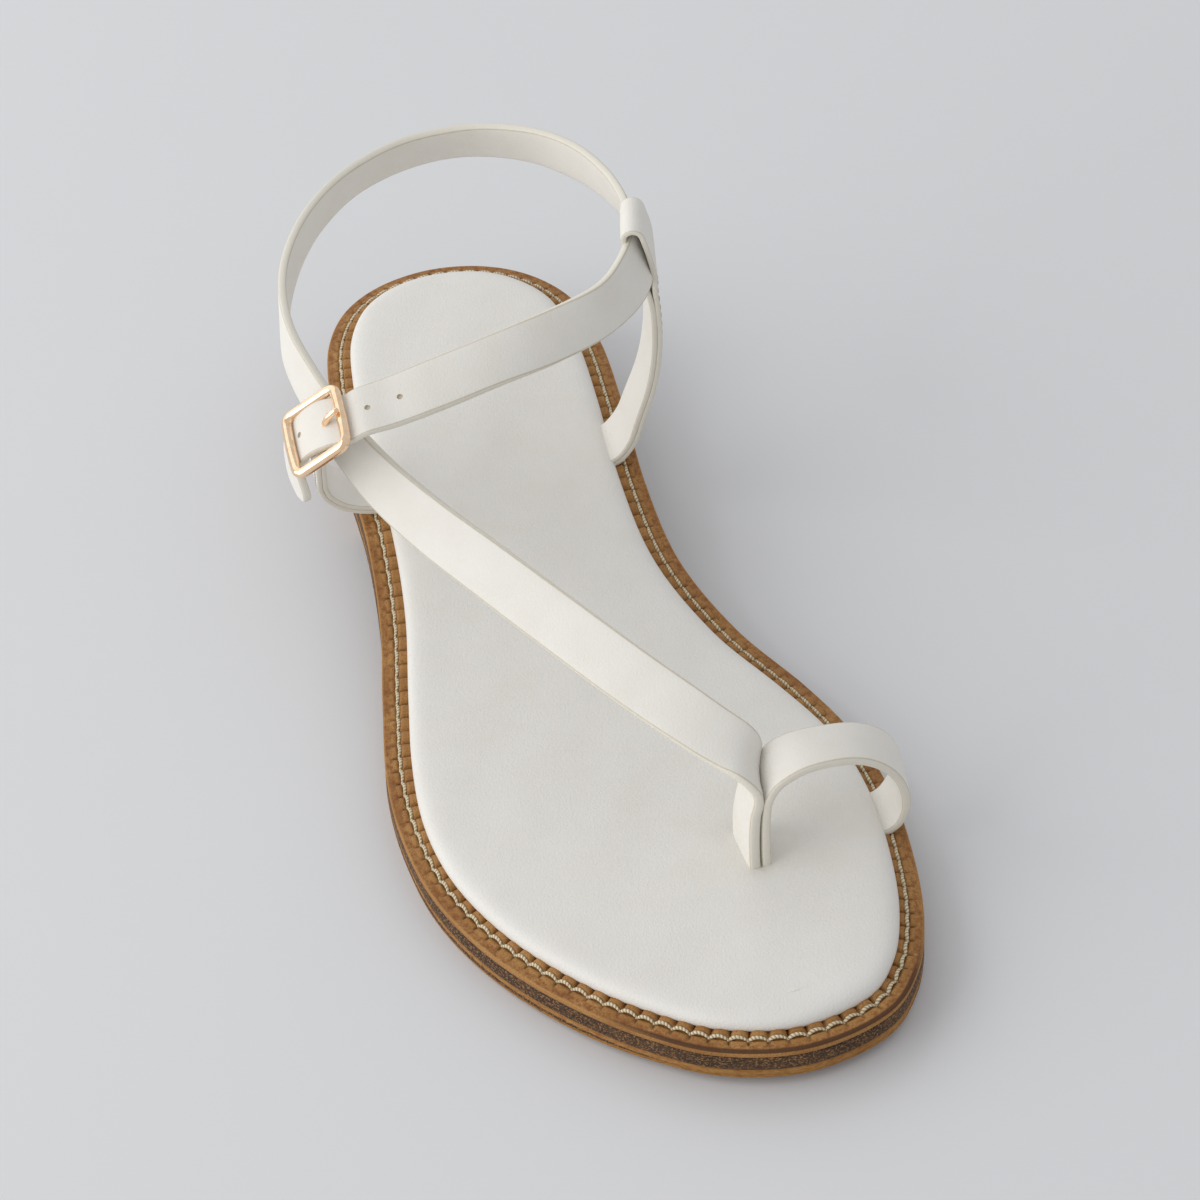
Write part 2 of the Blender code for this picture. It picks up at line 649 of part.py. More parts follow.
def stand_on_origin():
    """Hang everything on one empty, so that the origin is under the middle of the sandal."""
    bpy.context.view_layer.update()
    corners = []
    for item in bpy.data.objects:
        if "cut" in item.name or "pocket" in item.name or "slot" in item.name:
            continue
        corners += [item.matrix_world @ vertex.co for vertex in item.data.vertices]
    low = [min(corner[i] for corner in corners) for i in range(3)]
    high = [max(corner[i] for corner in corners) for i in range(3)]
    sandal = bpy.data.objects.new("sandal", None)
    bpy.context.scene.collection.objects.link(sandal)
    for item in list(bpy.data.objects):
        if item is not sandal:
            item.parent = sandal
    sandal.location = (-(low[0] + high[0]) / 2, -(low[1] + high[1]) / 2, -low[2])
    bpy.context.view_layer.update()


def build():
    clear_scene()
    loop = sole_outline()
    make_heel(loop)
    make_outsole(loop)
    make_welt(loop)
    make_insole(loop)
    make_upper()
    make_buckle()
    tube("buckle_prong", PRONG_ROUTE, PRONG_WIRE, "rose_gold_prong")
    stand_on_origin()


build()
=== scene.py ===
import math

import bpy
import numpy as np
from mathutils import Matrix, Vector


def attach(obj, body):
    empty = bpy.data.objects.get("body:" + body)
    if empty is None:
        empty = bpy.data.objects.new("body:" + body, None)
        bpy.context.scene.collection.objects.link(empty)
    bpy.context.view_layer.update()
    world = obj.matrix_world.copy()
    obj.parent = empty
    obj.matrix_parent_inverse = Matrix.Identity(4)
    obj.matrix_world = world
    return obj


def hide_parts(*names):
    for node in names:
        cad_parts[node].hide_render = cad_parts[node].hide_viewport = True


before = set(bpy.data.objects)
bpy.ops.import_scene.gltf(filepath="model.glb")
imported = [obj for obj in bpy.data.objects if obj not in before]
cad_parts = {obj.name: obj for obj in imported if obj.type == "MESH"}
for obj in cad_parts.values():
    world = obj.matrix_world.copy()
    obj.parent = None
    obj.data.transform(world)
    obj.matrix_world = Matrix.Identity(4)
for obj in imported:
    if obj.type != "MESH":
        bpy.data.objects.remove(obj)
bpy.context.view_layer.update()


# Heel lift: the flat piece of ochre rubber that the heel stands on, cut to the
# heel's outline with a straight front edge, rounded below and glued to the stack.
MM = 0.001
HEEL_TIP = (-4.0, 124.7)
TOE_TIP = (13.6, -127.4)
SOLE_STATIONS = [  # distance along the foot, outer edge, inner edge, in mm
    (122.0, -16.6, 8.4),
    (115.0, -26.0, 18.2),
    (103.0, -32.4, 25.5),
    (85.0, -35.7, 28.0),
    (60.0, -37.2, 27.2),
    (35.0, -37.4, 25.6),
    (12.0, -39.7, 26.7),
    (-10.0, -44.0, 33.0),
    (-30.0, -47.4, 41.9),
    (-48.0, -47.9, 47.4),
    (-66.0, -45.3, 49.3),
    (-84.0, -38.2, 47.9),
    (-101.0, -27.1, 44.4),
    (-114.0, -15.1, 38.9),
    (-123.0, -3.0, 30.7),
]
FRAME_SHIFT = (1.694, 1.45, 0.0)  # from the foot's own zero to the middle of the whole shoe
SPAN_STEPS = 40
LIFT_TOP = 3.75
BREAST_FOOT = 56.5
BREAST_SLANT = 0.225
HEEL_POINTS = 120
BREAST_POINTS = 30
LIFT_SIDE = [  # height, set in
    (0.0, 2.2), (0.12, 1.6), (0.5, 1.2), (3.3, 0.8), (3.6, 1.0), (LIFT_TOP, 1.6),
]
CAP_SHARES = (0.0, 0.45, 0.8, 0.94)
OCHRE = (172, 122, 56)
OCHRE_SHADE = (126, 84, 38)
GRID_SIZE = 0.1  # of a new grid before it is laid out, in metres
MERGE_REACH = 0.002


def summed(steps):
    return np.concatenate([[0.0], np.cumsum(steps)])


def curve_through(rows, steps):
    """A rounded line through the rows, with the given steps between neighbours."""
    rows = np.array(rows, float)
    knots = np.vstack([2 * rows[0] - rows[1], rows, 2 * rows[-1] - rows[-2]])
    at = summed(np.sqrt(np.linalg.norm(np.diff(knots[:, :3], axis=0), axis=1)))
    spans = []
    for i in range(1, len(knots) - 2):
        t = np.linspace(at[i], at[i + 1], steps, endpoint=False)[:, None]

        def mixed(a, b, start, end):
            return ((end - t) * a + (t - start) * b) / (end - start)

        first = [mixed(knots[k], knots[k + 1], at[k], at[k + 1]) for k in (i - 1, i, i + 1)]
        second = [mixed(first[k], first[k + 1], at[i - 1 + k], at[i + 1 + k]) for k in (0, 1)]
        spans.append(mixed(second[0], second[1], at[i], at[i + 1]))
    spans.append(rows[-1:])
    return np.vstack(spans)


def walked(line):
    """Distance walked along a line at each of its points."""
    return summed(np.linalg.norm(np.diff(line[:, :3], axis=0), axis=1))


def evenly(line, count):
    """The same line with count points the same distance apart."""
    reach = walked(line)
    at = np.linspace(0.0, reach[-1], count)
    return np.stack([np.interp(at, reach, column) for column in line.T], axis=1)


def sole_lap():
    """The welt's outer edge once round: heel, outer side, toe, inner side, heel."""
    outer = [(row[1], row[0]) for row in SOLE_STATIONS]
    inner = [(row[2], row[0]) for row in SOLE_STATIONS]
    lap = [inner[1], inner[0], HEEL_TIP, *outer, TOE_TIP, *inner[::-1], HEEL_TIP, outer[0], outer[1]]
    dense = curve_through(lap, SPAN_STEPS)
    return dense[2 * SPAN_STEPS : -2 * SPAN_STEPS]


def unit_rows(rows):
    """Directions, one in each row, brought to length 1."""
    return rows / np.linalg.norm(rows, axis=1)[:, None]


def lap_along(ring):
    """The direction of travel at each point of a closed ring."""
    return unit_rows(np.roll(ring, -1, axis=0) - np.roll(ring, 1, axis=0))


def set_in(lap, distance):
    """A closed lap moved inwards by one distance, or by one for each of its points."""
    ring = lap[:-1]
    along = lap_along(ring)
    inward = np.stack([-along[:, 1], along[:, 0]], axis=1)
    moved = ring + inward * np.broadcast_to(distance, len(ring))[:, None]
    return np.vstack([moved, moved[:1]])


def heel_ring(distance, height):
    """One level of the heel: its outline behind the breast, then the breast line."""
    ring = set_in(sole_edge, distance)[:-1]
    ring = np.roll(ring, -int(np.argmin(ring[:, 1])), axis=0)
    front = BREAST_FOOT - BREAST_SLANT * height
    kept = ring[ring[:, 1] > front]
    ends = []
    for point, inside in ((kept[0], kept[1]), (kept[-1], kept[-2])):
        slope = (point[0] - inside[0]) / (point[1] - inside[1])
        ends.append((point[0] + slope * (front - point[1]), front))
    kept = evenly(np.vstack([ends[0], kept, ends[1]]), HEEL_POINTS)
    breast = evenly(np.array([ends[1], ends[0]]), BREAST_POINTS)
    return np.vstack([kept, breast[1:]])


def raised(ring, height):
    return np.column_stack([ring, np.broadcast_to(height, len(ring))])


def capped_rings(rings):
    """The rings of a closed block, with flat ends drawn in to a point."""
    low, high = [], []
    for share in CAP_SHARES:
        low.append(rings[0].mean(axis=0) * (1 - share) + rings[0] * share)
        high.append(rings[-1].mean(axis=0) * (1 - share) + rings[-1] * share)
    return np.array(low + rings + high[::-1])


def laid_grid(name, rings):
    """A grid primitive laid over rings of points in mm, with its UV map in metres."""
    rows, columns = rings.shape[:2]
    bpy.ops.object.select_all(action="DESELECT")
    bpy.ops.mesh.primitive_grid_add(
        x_subdivisions=columns - 1, y_subdivisions=rows - 1, size=GRID_SIZE
    )
    piece = bpy.context.active_object
    piece.name = piece.data.name = name
    mesh = piece.data
    mesh.vertices.foreach_set("co", ((rings + shift) * MM).reshape(-1))
    across = np.linalg.norm(np.diff(rings, axis=1), axis=2).mean(axis=0)
    along = np.linalg.norm(np.diff(rings, axis=0), axis=2).mean(axis=1)
    chart = np.stack(np.meshgrid(summed(across) * MM, summed(along) * MM), axis=2).reshape(-1, 2)
    corners = np.empty(len(mesh.loops), np.int32)
    mesh.loops.foreach_get("vertex_index", corners)
    mesh.uv_layers.active.data.foreach_set("uv", chart[corners].reshape(-1))
    return piece


def marked(piece, name, values):
    """Keeps one number for each point of a piece, for its material to read."""
    values = np.asarray(values, np.float32).reshape(-1)
    piece.data.attributes.new(name, "FLOAT", "POINT").data.foreach_set("value", values)


def closed_up(piece, angle=40.0):
    """Merges the seams, turns the faces outwards and smooths all but the sharp edges."""
    bpy.ops.object.mode_set(mode="EDIT")
    bpy.ops.mesh.select_all(action="SELECT")
    bpy.ops.mesh.remove_doubles(threshold=MERGE_REACH * MM)
    bpy.ops.mesh.normals_make_consistent(inside=False)
    bpy.ops.object.mode_set(mode="OBJECT")
    bpy.ops.object.shade_smooth_by_angle(angle=math.radians(angle))
    return piece


def colour(red, green, blue):
    """A linear colour from display values of 0 to 255."""
    shares = [value / 255 for value in (red, green, blue)]
    return (*[s / 12.92 if s < 0.04045 else ((s + 0.055) / 1.055) ** 2.4 for s in shares], 1.0)


def joined(tree, socket, value):
    if isinstance(value, bpy.types.NodeSocket):
        tree.links.new(value, socket)
    else:
        socket.default_value = value


def add(tree, kind, sockets=None, **settings):
    """A shader node with its settings and its sockets filled or linked."""
    item = tree.nodes.new("ShaderNode" + kind)
    for key, value in settings.items():
        setattr(item, key, value)
    for key, value in (sockets or {}).items():
        joined(tree, item.inputs[key], value)
    return item


def calc(tree, operation, first, second):
    return add(tree, "Math", {0: first, 1: second}, operation=operation).outputs[0]


def blend(tree, share, first, second):
    """Two colours mixed by a share. A plain colour is given by its display values."""
    first, second = [colour(*tone) if isinstance(tone, tuple) else tone for tone in (first, second)]
    return add(tree, "Mix", {0: share, 6: first, 7: second}, data_type="RGBA").outputs[2]


def ranged(tree, value, low, high, start=0.0, end=1.0):
    sockets = {"Value": value, "From Min": low, "From Max": high, "To Min": start, "To Max": end}
    return add(tree, "MapRange", sockets).outputs[0]


def speckled(tree, vector, size, detail=3.0, rough=0.6):
    """Noise whose spots are about size mm across."""
    sockets = {"Vector": vector, "Scale": 1.0 / (size * MM), "Detail": detail, "Roughness": rough}
    return add(tree, "TexNoise", sockets).outputs[0]


def finish_of(name):
    """A new material, its tree, its shader and its object coordinates."""
    material = bpy.data.materials.new(name)
    material.use_nodes = True
    tree = material.node_tree
    return material, tree, tree.nodes["Principled BSDF"], add(tree, "TexCoord").outputs["Object"]


def dressed(tree, shader, base, rough, height, depth):
    """A finish's colour, roughness and fine relief, set on its shader."""
    bump = add(tree, "Bump", {"Height": height, "Distance": depth * MM, "Strength": 1.0})
    for label, value in (("Base Color", base), ("Roughness", rough), ("Normal", bump.outputs[0])):
        joined(tree, shader.inputs[label], value)


def ochre_rubber(name):
    """Matte moulded rubber, a little cloudy and dusty."""
    material, tree, shader, place = finish_of(name)
    cloud = ranged(tree, speckled(tree, place, size=5.0), 0.3, 0.7)
    grain = speckled(tree, place, size=0.35, detail=2.0)
    base = blend(tree, cloud, OCHRE_SHADE, OCHRE)
    base = blend(tree, ranged(tree, grain, 0.35, 0.75, 0.0, 0.35), base, OCHRE_SHADE)
    dressed(tree, shader, base, ranged(tree, cloud, 0.0, 1.0, 0.62, 0.8), grain, depth=0.08)
    return material


sole_edge = sole_lap()
shift = np.array(FRAME_SHIFT)

lift_rings = capped_rings([raised(heel_ring(inset, height), height) for height, inset in LIFT_SIDE])
heel_lift = closed_up(laid_grid("heel_lift_rubber", lift_rings))
heel_lift.data.materials.append(ochre_rubber("heel_lift_ochre"))
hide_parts("heel_lift")
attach(heel_lift, "root")


# Heel stack: the low heel block under the sole, moulded with the look of stacked
# leather layers, dark brown with tan lines. Its front, the breast, slants back.
BALL_HEIGHT = 8.0
HEEL_HEIGHT = 20.0
TOE_SPRING = 2.5
TREAD_SPRING = 2.6
BALL_Y = -30.0
HEEL_SEAT_Y = 75.0
SPRING_Y = -66.0
WAIST_LIFT = 1.1
WAIST_SPAN = 40.0
SEAT_DEPTH = 2.4
SEAT_Y = 30.0
SEAT_SPAN = 40.0
TOE_Y = -104.0
TOE_SPAN = 18.0
WELT_THICKNESS = 1.7
STACK_LAP = 0.1
STACK_SIDE = [  # share of the height from the top, set in
    (0.0, 0.4), (0.05, 0.0), (0.25, 0.05), (0.45, 0.15), (0.48, 0.3), (0.50, 0.5),
    (0.52, 0.3), (0.55, 0.2), (0.75, 0.45), (0.96, 0.7), (1.0, 1.0),
]
LAYER_LINES = [  # depth under the welt's top where a dark layer starts and ends, in mm
    (1.2, 4.8), (6.2, 8.6), (9.2, 12.2), (12.8, 16.6),
]
LAYER_REACH = 20.0
LINE_SOFTNESS = 0.12
LINE_WANDER = 0.45
TOE_PRINT_SHIFT = 0.7
LAYER_DARK = (82, 60, 43)
LAYER_BLACK = (46, 34, 27)
LAYER_FLECK = (158, 116, 72)
LINE_TAN = (168, 126, 70)
LINE_RUST = (144, 94, 48)
STREAK_STRETCH = (0.3, 0.3, 1.0)
FLECK_STRETCH = (0.7, 0.7, 1.0)
MATTE_SPECULAR = 0.25


def eased(value):
    share = np.clip(value, 0.0, 1.0)
    return share * share * (3.0 - 2.0 * share)


def arch_rise(y):
    return (HEEL_HEIGHT - BALL_HEIGHT) * eased((y - BALL_Y) / (HEEL_SEAT_Y - BALL_Y))


def toe_rise(y, spring):
    return spring * (np.maximum(SPRING_Y - y, 0.0) / (SPRING_Y - TOE_TIP[1])) ** 2


def welt_top(y):
    """Height of the welt's upper face: toe spring, flat ball, arch and heel seat."""
    return BALL_HEIGHT + arch_rise(y) + toe_rise(y, TOE_SPRING)


def outsole_bottom(y):
    """Height of the sole's underside: the waist is thin and the heel seat thick."""
    waist = WAIST_LIFT * eased((y - BALL_Y) / WAIST_SPAN)
    waist = waist - SEAT_DEPTH * eased((y - SEAT_Y) / SEAT_SPAN)
    return arch_rise(y) + waist + toe_rise(y, TREAD_SPRING)


def round_toe(y, span):
    """From 0 behind the toe to 1 at its round front."""
    return eased((TOE_Y - y) / span)


def print_shift(y):
    """How much lower the layers' print lies round the toe."""
    return TOE_PRINT_SHIFT * round_toe(y, TOE_SPAN)


def effect_group(name, inputs, outputs):
    """A shader group with its named sockets: what it is given and what is taken from it."""
    group = bpy.data.node_groups.new(name, "ShaderNodeTree")
    for side, sockets in (("INPUT", inputs), ("OUTPUT", outputs)):
        for label, kind in sockets.items():
            group.interface.new_socket(label, in_out=side, socket_type="NodeSocket" + kind)
    given = group.nodes.new("NodeGroupInput")
    taken = group.nodes.new("NodeGroupOutput")
    return group, given.outputs, taken.inputs


def layer_mask():
    """A group that is 1 in the dark layers of the sole's side and 0 in the tan lines."""
    inputs = {"Depth": "Float", "Wander": "Float"}
    group, given, taken = effect_group("layer_mask", inputs, {"Dark": "Float"})
    away = calc(group, "MULTIPLY", calc(group, "SUBTRACT", given["Wander"], 0.5), LINE_WANDER)
    depth = calc(group, "ADD", given["Depth"], away)
    ramp = add(group, "ValToRGB", {"Fac": calc(group, "DIVIDE", depth, LAYER_REACH)})
    stops = ramp.color_ramp.elements
    stops[0].position, stops[0].color = 0.0, (0, 0, 0, 1)
    stops[1].position, stops[1].color = 1.0, (1, 1, 1, 1)
    for start, end in LAYER_LINES:
        for at, shade in ((start - LINE_SOFTNESS, 0), (start, 1), (end, 1), (end + LINE_SOFTNESS, 0)):
            stops.new(at / LAYER_REACH).color = (shade, shade, shade, 1)
    group.links.new(ramp.outputs[0], taken["Dark"])
    return group


def mark_of(tree, name):
    """The number that a piece keeps for each of its points."""
    return add(tree, "Attribute", attribute_name=name).outputs["Fac"]


def dark_layers(tree, wander):
    """The mask of the dark layers on a piece that keeps its depth under the welt's top."""
    sockets = {"Depth": mark_of(tree, "layer_depth"), "Wander": wander}
    return add(tree, "Group", sockets, node_tree=layers_group).outputs["Dark"]


def stretched(tree, vector, scale):
    return add(tree, "Mapping", {"Vector": vector, "Scale": scale}).outputs[0]


def edge_streaks(tree, place):
    """The streaks along the sole's edge: their stretched place and their strength."""
    streak = stretched(tree, place, STREAK_STRETCH)
    return streak, speckled(tree, streak, size=0.45, detail=4.0, rough=0.7)


def stacked_layers(name, sole_line):
    """Moulded layers: flecked dark brown bands and thin tan lines, streaked along the edge."""
    material, tree, shader, place = finish_of(name)
    streak, streaks = edge_streaks(tree, place)
    fine = speckled(tree, place, size=0.4, detail=2.0)
    flecks = speckled(tree, stretched(tree, place, FLECK_STRETCH), size=0.34, detail=2.0)
    cloud = ranged(tree, speckled(tree, streak, size=4.0), 0.3, 0.7)
    dark = blend(tree, ranged(tree, cloud, 0.0, 1.0, 0.1, 0.9), LAYER_BLACK, LAYER_DARK)
    dark = blend(tree, ranged(tree, flecks, 0.5, 0.64, 0.0, 0.9), dark, LAYER_FLECK)
    dark = blend(tree, ranged(tree, fine, 0.52, 0.66, 0.0, 0.75), dark, LAYER_BLACK)
    tan = blend(tree, ranged(tree, streaks, 0.35, 0.65), LINE_TAN, LINE_RUST)
    base = blend(tree, dark_layers(tree, streaks), tan, dark)
    if sole_line:
        ochre = blend(tree, ranged(tree, streaks, 0.35, 0.7), OCHRE, OCHRE_SHADE)
        below = ranged(tree, mark_of(tree, "tread_rise"), 0.0, 0.2, 1.0, 0.0)
        base = blend(tree, below, base, ochre)
    dressed(tree, shader, base, ranged(tree, streaks, 0.3, 0.7, 0.55, 0.75), streaks, depth=0.1)
    shader.inputs["Specular IOR Level"].default_value = MATTE_SPECULAR
    return material


layers_group = layer_mask()
stack_rings = []
for share, inset in STACK_SIDE[::-1]:
    front_height = LIFT_TOP * share + outsole_bottom(BREAST_FOOT) * (1 - share)
    ring = heel_ring(inset, front_height)
    top = outsole_bottom(ring[:, 1]) + STACK_LAP
    stack_rings.append(raised(ring, LIFT_TOP * share + top * (1 - share)))
stack_rings = capped_rings(stack_rings)
heel_stack = laid_grid("heel_stack_block", stack_rings)
marked(heel_stack, "layer_depth", welt_top(stack_rings[:, :, 1]) - stack_rings[:, :, 2])
closed_up(heel_stack, angle=30.0)
heel_stack.data.materials.append(stacked_layers("stacked_heel_side", False))
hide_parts("heel_stack")
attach(heel_stack, "root")


# Outsole: the layered sole under the whole foot, dark brown with tan lines at its
# side and ochre rubber below. It is moulded in one piece and glued to the welt.
SOLE_STEPS = 170
OUTSOLE_SIDE = [  # share of the height from the top, set in
    (0.0, 1.0), (0.02, 0.5), (0.05, 0.2), (0.12, 0.05), (0.30, -0.1), (0.48, -0.2), (0.56, -0.2),
    (0.60, -0.05), (0.63, 0.15), (0.66, -0.05), (0.70, -0.25), (0.84, -0.35), (0.94, -0.35),
    (0.985, -0.1), (1.0, 0.4),
]
FOREFOOT_TUCK = 0.5
FOREFOOT_Y = -25.0
FOREFOOT_SPAN = 30.0
TOE_TUCK = 0.4
MIDDLE_SHARES = (0.86, 0.66, 0.4, 0.16, 0.0)
OCHRE_LINE = 0.75
TOE_OCHRE = 0.3
TOE_OCHRE_Y = -70.0
TOE_OCHRE_SPAN = 45.0
HEEL_PRINT_SPAN = 30.0


def paired_lap():
    """The welt's edge with its points in pairs across the foot, heel to toe and back."""
    toe = int(np.argmin(sole_edge[:, 1]))
    outer, inner = sole_edge[: toe + 1], sole_edge[toe:][::-1]
    high, low = sole_edge[0, 1], sole_edge[toe, 1]
    turns = np.linspace(0.0, math.pi, SOLE_STEPS + 1)
    y = (high + low) / 2 + (high - low) / 2 * np.cos(turns)
    sides = [np.column_stack([np.interp(-y, -side[:, 1], side[:, 0]), y]) for side in (outer, inner)]
    return np.vstack([sides[0], sides[1][-2::-1]])


def to_middle(ring, shares):
    """Rings between a ring of paired points and the foot's middle line."""
    middle = (ring + ring[::-1]) / 2
    return [middle + (ring - middle) * share for share in shares]


paired_edge = paired_lap()
edge_y = paired_edge[:-1, 1]
sole_tuck = FOREFOOT_TUCK * eased((FOREFOOT_Y - edge_y) / FOREFOOT_SPAN)
sole_tuck = sole_tuck + TOE_TUCK * round_toe(edge_y, TOE_SPAN)
side_rings = []
for share, inset in OUTSOLE_SIDE[::-1]:
    ring = set_in(paired_edge, inset + share * sole_tuck)
    top, bottom = welt_top(ring[:, 1]) - WELT_THICKNESS, outsole_bottom(ring[:, 1])
    side_rings.append(raised(ring, bottom * share + top * (1 - share)))
under = to_middle(side_rings[0], MIDDLE_SHARES)[::-1]
upper_face = to_middle(side_rings[-1], MIDDLE_SHARES)
for ring in under:
    ring[:, 2] = outsole_bottom(ring[:, 1])
outsole_rings = np.array(under + side_rings + upper_face)
outsole = laid_grid("outsole_layers", outsole_rings)
station, height = outsole_rings[:, :, 1], outsole_rings[:, :, 2]
toe_share = eased((TOE_OCHRE_Y - station) / TOE_OCHRE_SPAN)
heel_share = eased((station - SEAT_Y) / HEEL_PRINT_SPAN)
whole = welt_top(station) - outsole_bottom(station)
squeeze = 1.0 + (1.0 - heel_share) * (BALL_HEIGHT / whole - 1.0)
layer_depth = (welt_top(station) - height) * squeeze - print_shift(station)
marked(outsole, "layer_depth", layer_depth)
ochre_line = OCHRE_LINE * (1.0 - heel_share) + TOE_OCHRE * toe_share
marked(outsole, "tread_rise", height - outsole_bottom(station) - ochre_line)
closed_up(outsole, angle=35.0)
outsole.data.materials.append(stacked_layers("stacked_sole_side", True))
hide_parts("outsole")
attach(outsole, "root")


# Welt: the tan leather rim that the sole is sewn through. The thread's pull presses
# a groove across the leather at each stitch hole and leaves soft pillows between.
STITCH_LINE = 3.1
STITCH_PITCH = 3.7
STITCH_POINTS = 9
WELT_TOP_ROWS = (  # set in
    9.0, 7.4, 6.4, 5.8, 5.3, 4.9, 4.5, 4.1, 3.8, 3.5,
    3.25, 3.0, 2.75, 2.5, 2.2, 1.9, 1.65, 1.4, 1.15, 0.9,
)
WELT_SIDE_ROWS = [  # set in, height over the welt's top
    (0.6, -0.02), (0.35, -0.06), (0.16, -0.14), (0.05, -0.26), (0.10, -0.36), (0.12, -0.46),
    (0.04, -0.6), (0.0, -0.9), (0.0, -1.3), (0.1, -1.55), (0.5, -1.72), (9.0, -1.72),
]
PULL_WIDTH = 0.09  # share of a stitch
PULL_STEPS = 37
PULL_WAVES = 11
PRESSED_FACE = (-0.1, 7.0)  # the lowest height and the furthest set in that are pressed
GROOVE_BAND = (3.2, 7.0, 1.0)  # set in from and to, softness
DENT_BAND = (1.4, 3.2, 0.7)
CHANNEL_BAND = (2.5, 3.7, 0.5)
RIM_BAND = (0.45, 0.95, 0.25)
WORN_BAND = (0.1, 2.0, 0.4)
# Painted shade on the welt's rim round the toe's front: its heights, how far in, its span and its
# strength.
TOE_EDGE_BAND = (-0.5, 0.03, 0.06)  # height from and to, softness
TOE_EDGE_SET_IN = 1.0
TOE_EDGE_SPAN = 14.0
# Painted highlight along the welt's top outer edge: how far in and how low it reaches.
EDGE_HIGHLIGHT_SET_IN = 0.25
EDGE_HIGHLIGHT_LOWEST = -0.55
# The sinks press the leather; the shades darken it, as pressed leather and as painted shade in the
# grooves, dents, channel and rim line.
GROOVE_SINK, GROOVE_SWELL, GROOVE_SHADE = 0.5, 1.15, 0.4
DENT_SINK, DENT_SWELL, DENT_SHADE = 0.26, 0.25, 0.5
UNEVEN_SINK, UNEVEN_SHADE = 0.16, 0.35
CHANNEL_SINK, CHANNEL_SHADE = 0.12, 0.3
RIM_SINK, RIM_SHADE = 0.05, 0.35
TOE_EDGE_SHADE = 0.9
WELT_TAN = (154, 110, 60)
WELT_LIGHT = (174, 130, 76)
WELT_RUST = (120, 70, 34)
# Colour of pressed leather and of painted shade in the welt's recesses and on the toe's rim.
WELT_PRESSED_SHADE = (74, 46, 26)
WELT_PORES = 1600.0
PORE_FINENESS = 1.7
MOTTLE_FINENESS = 0.06
CELL_SHARE = 0.6
PORE_SHARE = 0.7


def bump_between(value, low, high, soft):
    return eased((value - low) / soft) * eased((high - value) / soft)


lap_length = walked(set_in(sole_edge, STITCH_LINE))[-1]
stitch_count = round(lap_length / STITCH_PITCH)
welt_edge = evenly(sole_edge, stitch_count * STITCH_POINTS + 1)
stitch_line = set_in(welt_edge, STITCH_LINE)
stitch_turn = walked(stitch_line) / lap_length * stitch_count
from_hole = np.abs((stitch_turn + 0.5) % 1.0 - 0.5)
pull = np.exp(-((from_hole / PULL_WIDTH) ** 2))
pillow = np.sqrt(1.0 - (1.0 - 2.0 * from_hole) ** 2)
pull_step = np.round(stitch_turn / stitch_count * PULL_STEPS)
wobble = 0.5 + 0.5 * np.sin(2 * math.pi * pull_step / PULL_STEPS * PULL_WAVES)
wobble[-1] = wobble[0]
welt_rings = []
welt_marks = {"pressed_and_shade": [], "layer_depth": [], "rim": [], "corner": []}
for inset, height in [(inset, 0.0) for inset in WELT_TOP_ROWS] + WELT_SIDE_ROWS:
    ring = set_in(welt_edge, inset)
    on_top = 1.0 if height > PRESSED_FACE[0] and inset < PRESSED_FACE[1] else 0.0
    bands = (GROOVE_BAND, DENT_BAND, CHANNEL_BAND, RIM_BAND)
    groove, dent, channel, rim = [bump_between(inset, *band) * on_top for band in bands]
    sunk = pull * (GROOVE_SINK * groove + (DENT_SINK + UNEVEN_SINK * wobble) * dent)
    sunk = sunk + CHANNEL_SINK * channel + RIM_SINK * rim
    proud = pillow * (GROOVE_SWELL * groove + DENT_SWELL * dent)
    welt_rings.append(raised(ring, welt_top(ring[:, 1]) + height - sunk + proud))
    # Painted shade on the rim round the toe's front, which faces away from the light.
    toe_shade = bump_between(height, *TOE_EDGE_BAND) if inset < TOE_EDGE_SET_IN else 0.0
    toe_shade = round_toe(ring[:, 1], TOE_EDGE_SPAN) * toe_shade
    # Painted shade: the grooves, dents, channel and rim line are darkened where shade falls, on top of
    # the pressing.
    shade = pull * np.maximum(GROOVE_SHADE * groove, (DENT_SHADE + UNEVEN_SHADE * wobble) * dent)
    shade = shade + CHANNEL_SHADE * channel + RIM_SHADE * rim + TOE_EDGE_SHADE * toe_shade
    # Painted highlight along the top outer edge, left off where the toe's rim is painted in shade.
    corner = eased((EDGE_HIGHLIGHT_SET_IN - inset) / EDGE_HIGHLIGHT_SET_IN) * (height > EDGE_HIGHLIGHT_LOWEST)
    welt_marks["pressed_and_shade"].append(shade)
    welt_marks["layer_depth"].append(-height - print_shift(ring[:, 1]))
    welt_marks["rim"].append(np.full(len(ring), bump_between(inset, *WORN_BAND)))
    welt_marks["corner"].append(corner * (1.0 - toe_shade))
for rows in (welt_rings, *welt_marks.values()):
    rows.append(rows[0])
welt = laid_grid("welt_leather", np.array(welt_rings))
for name, values in welt_marks.items():
    marked(welt, name, values)
closed_up(welt, angle=60.0)


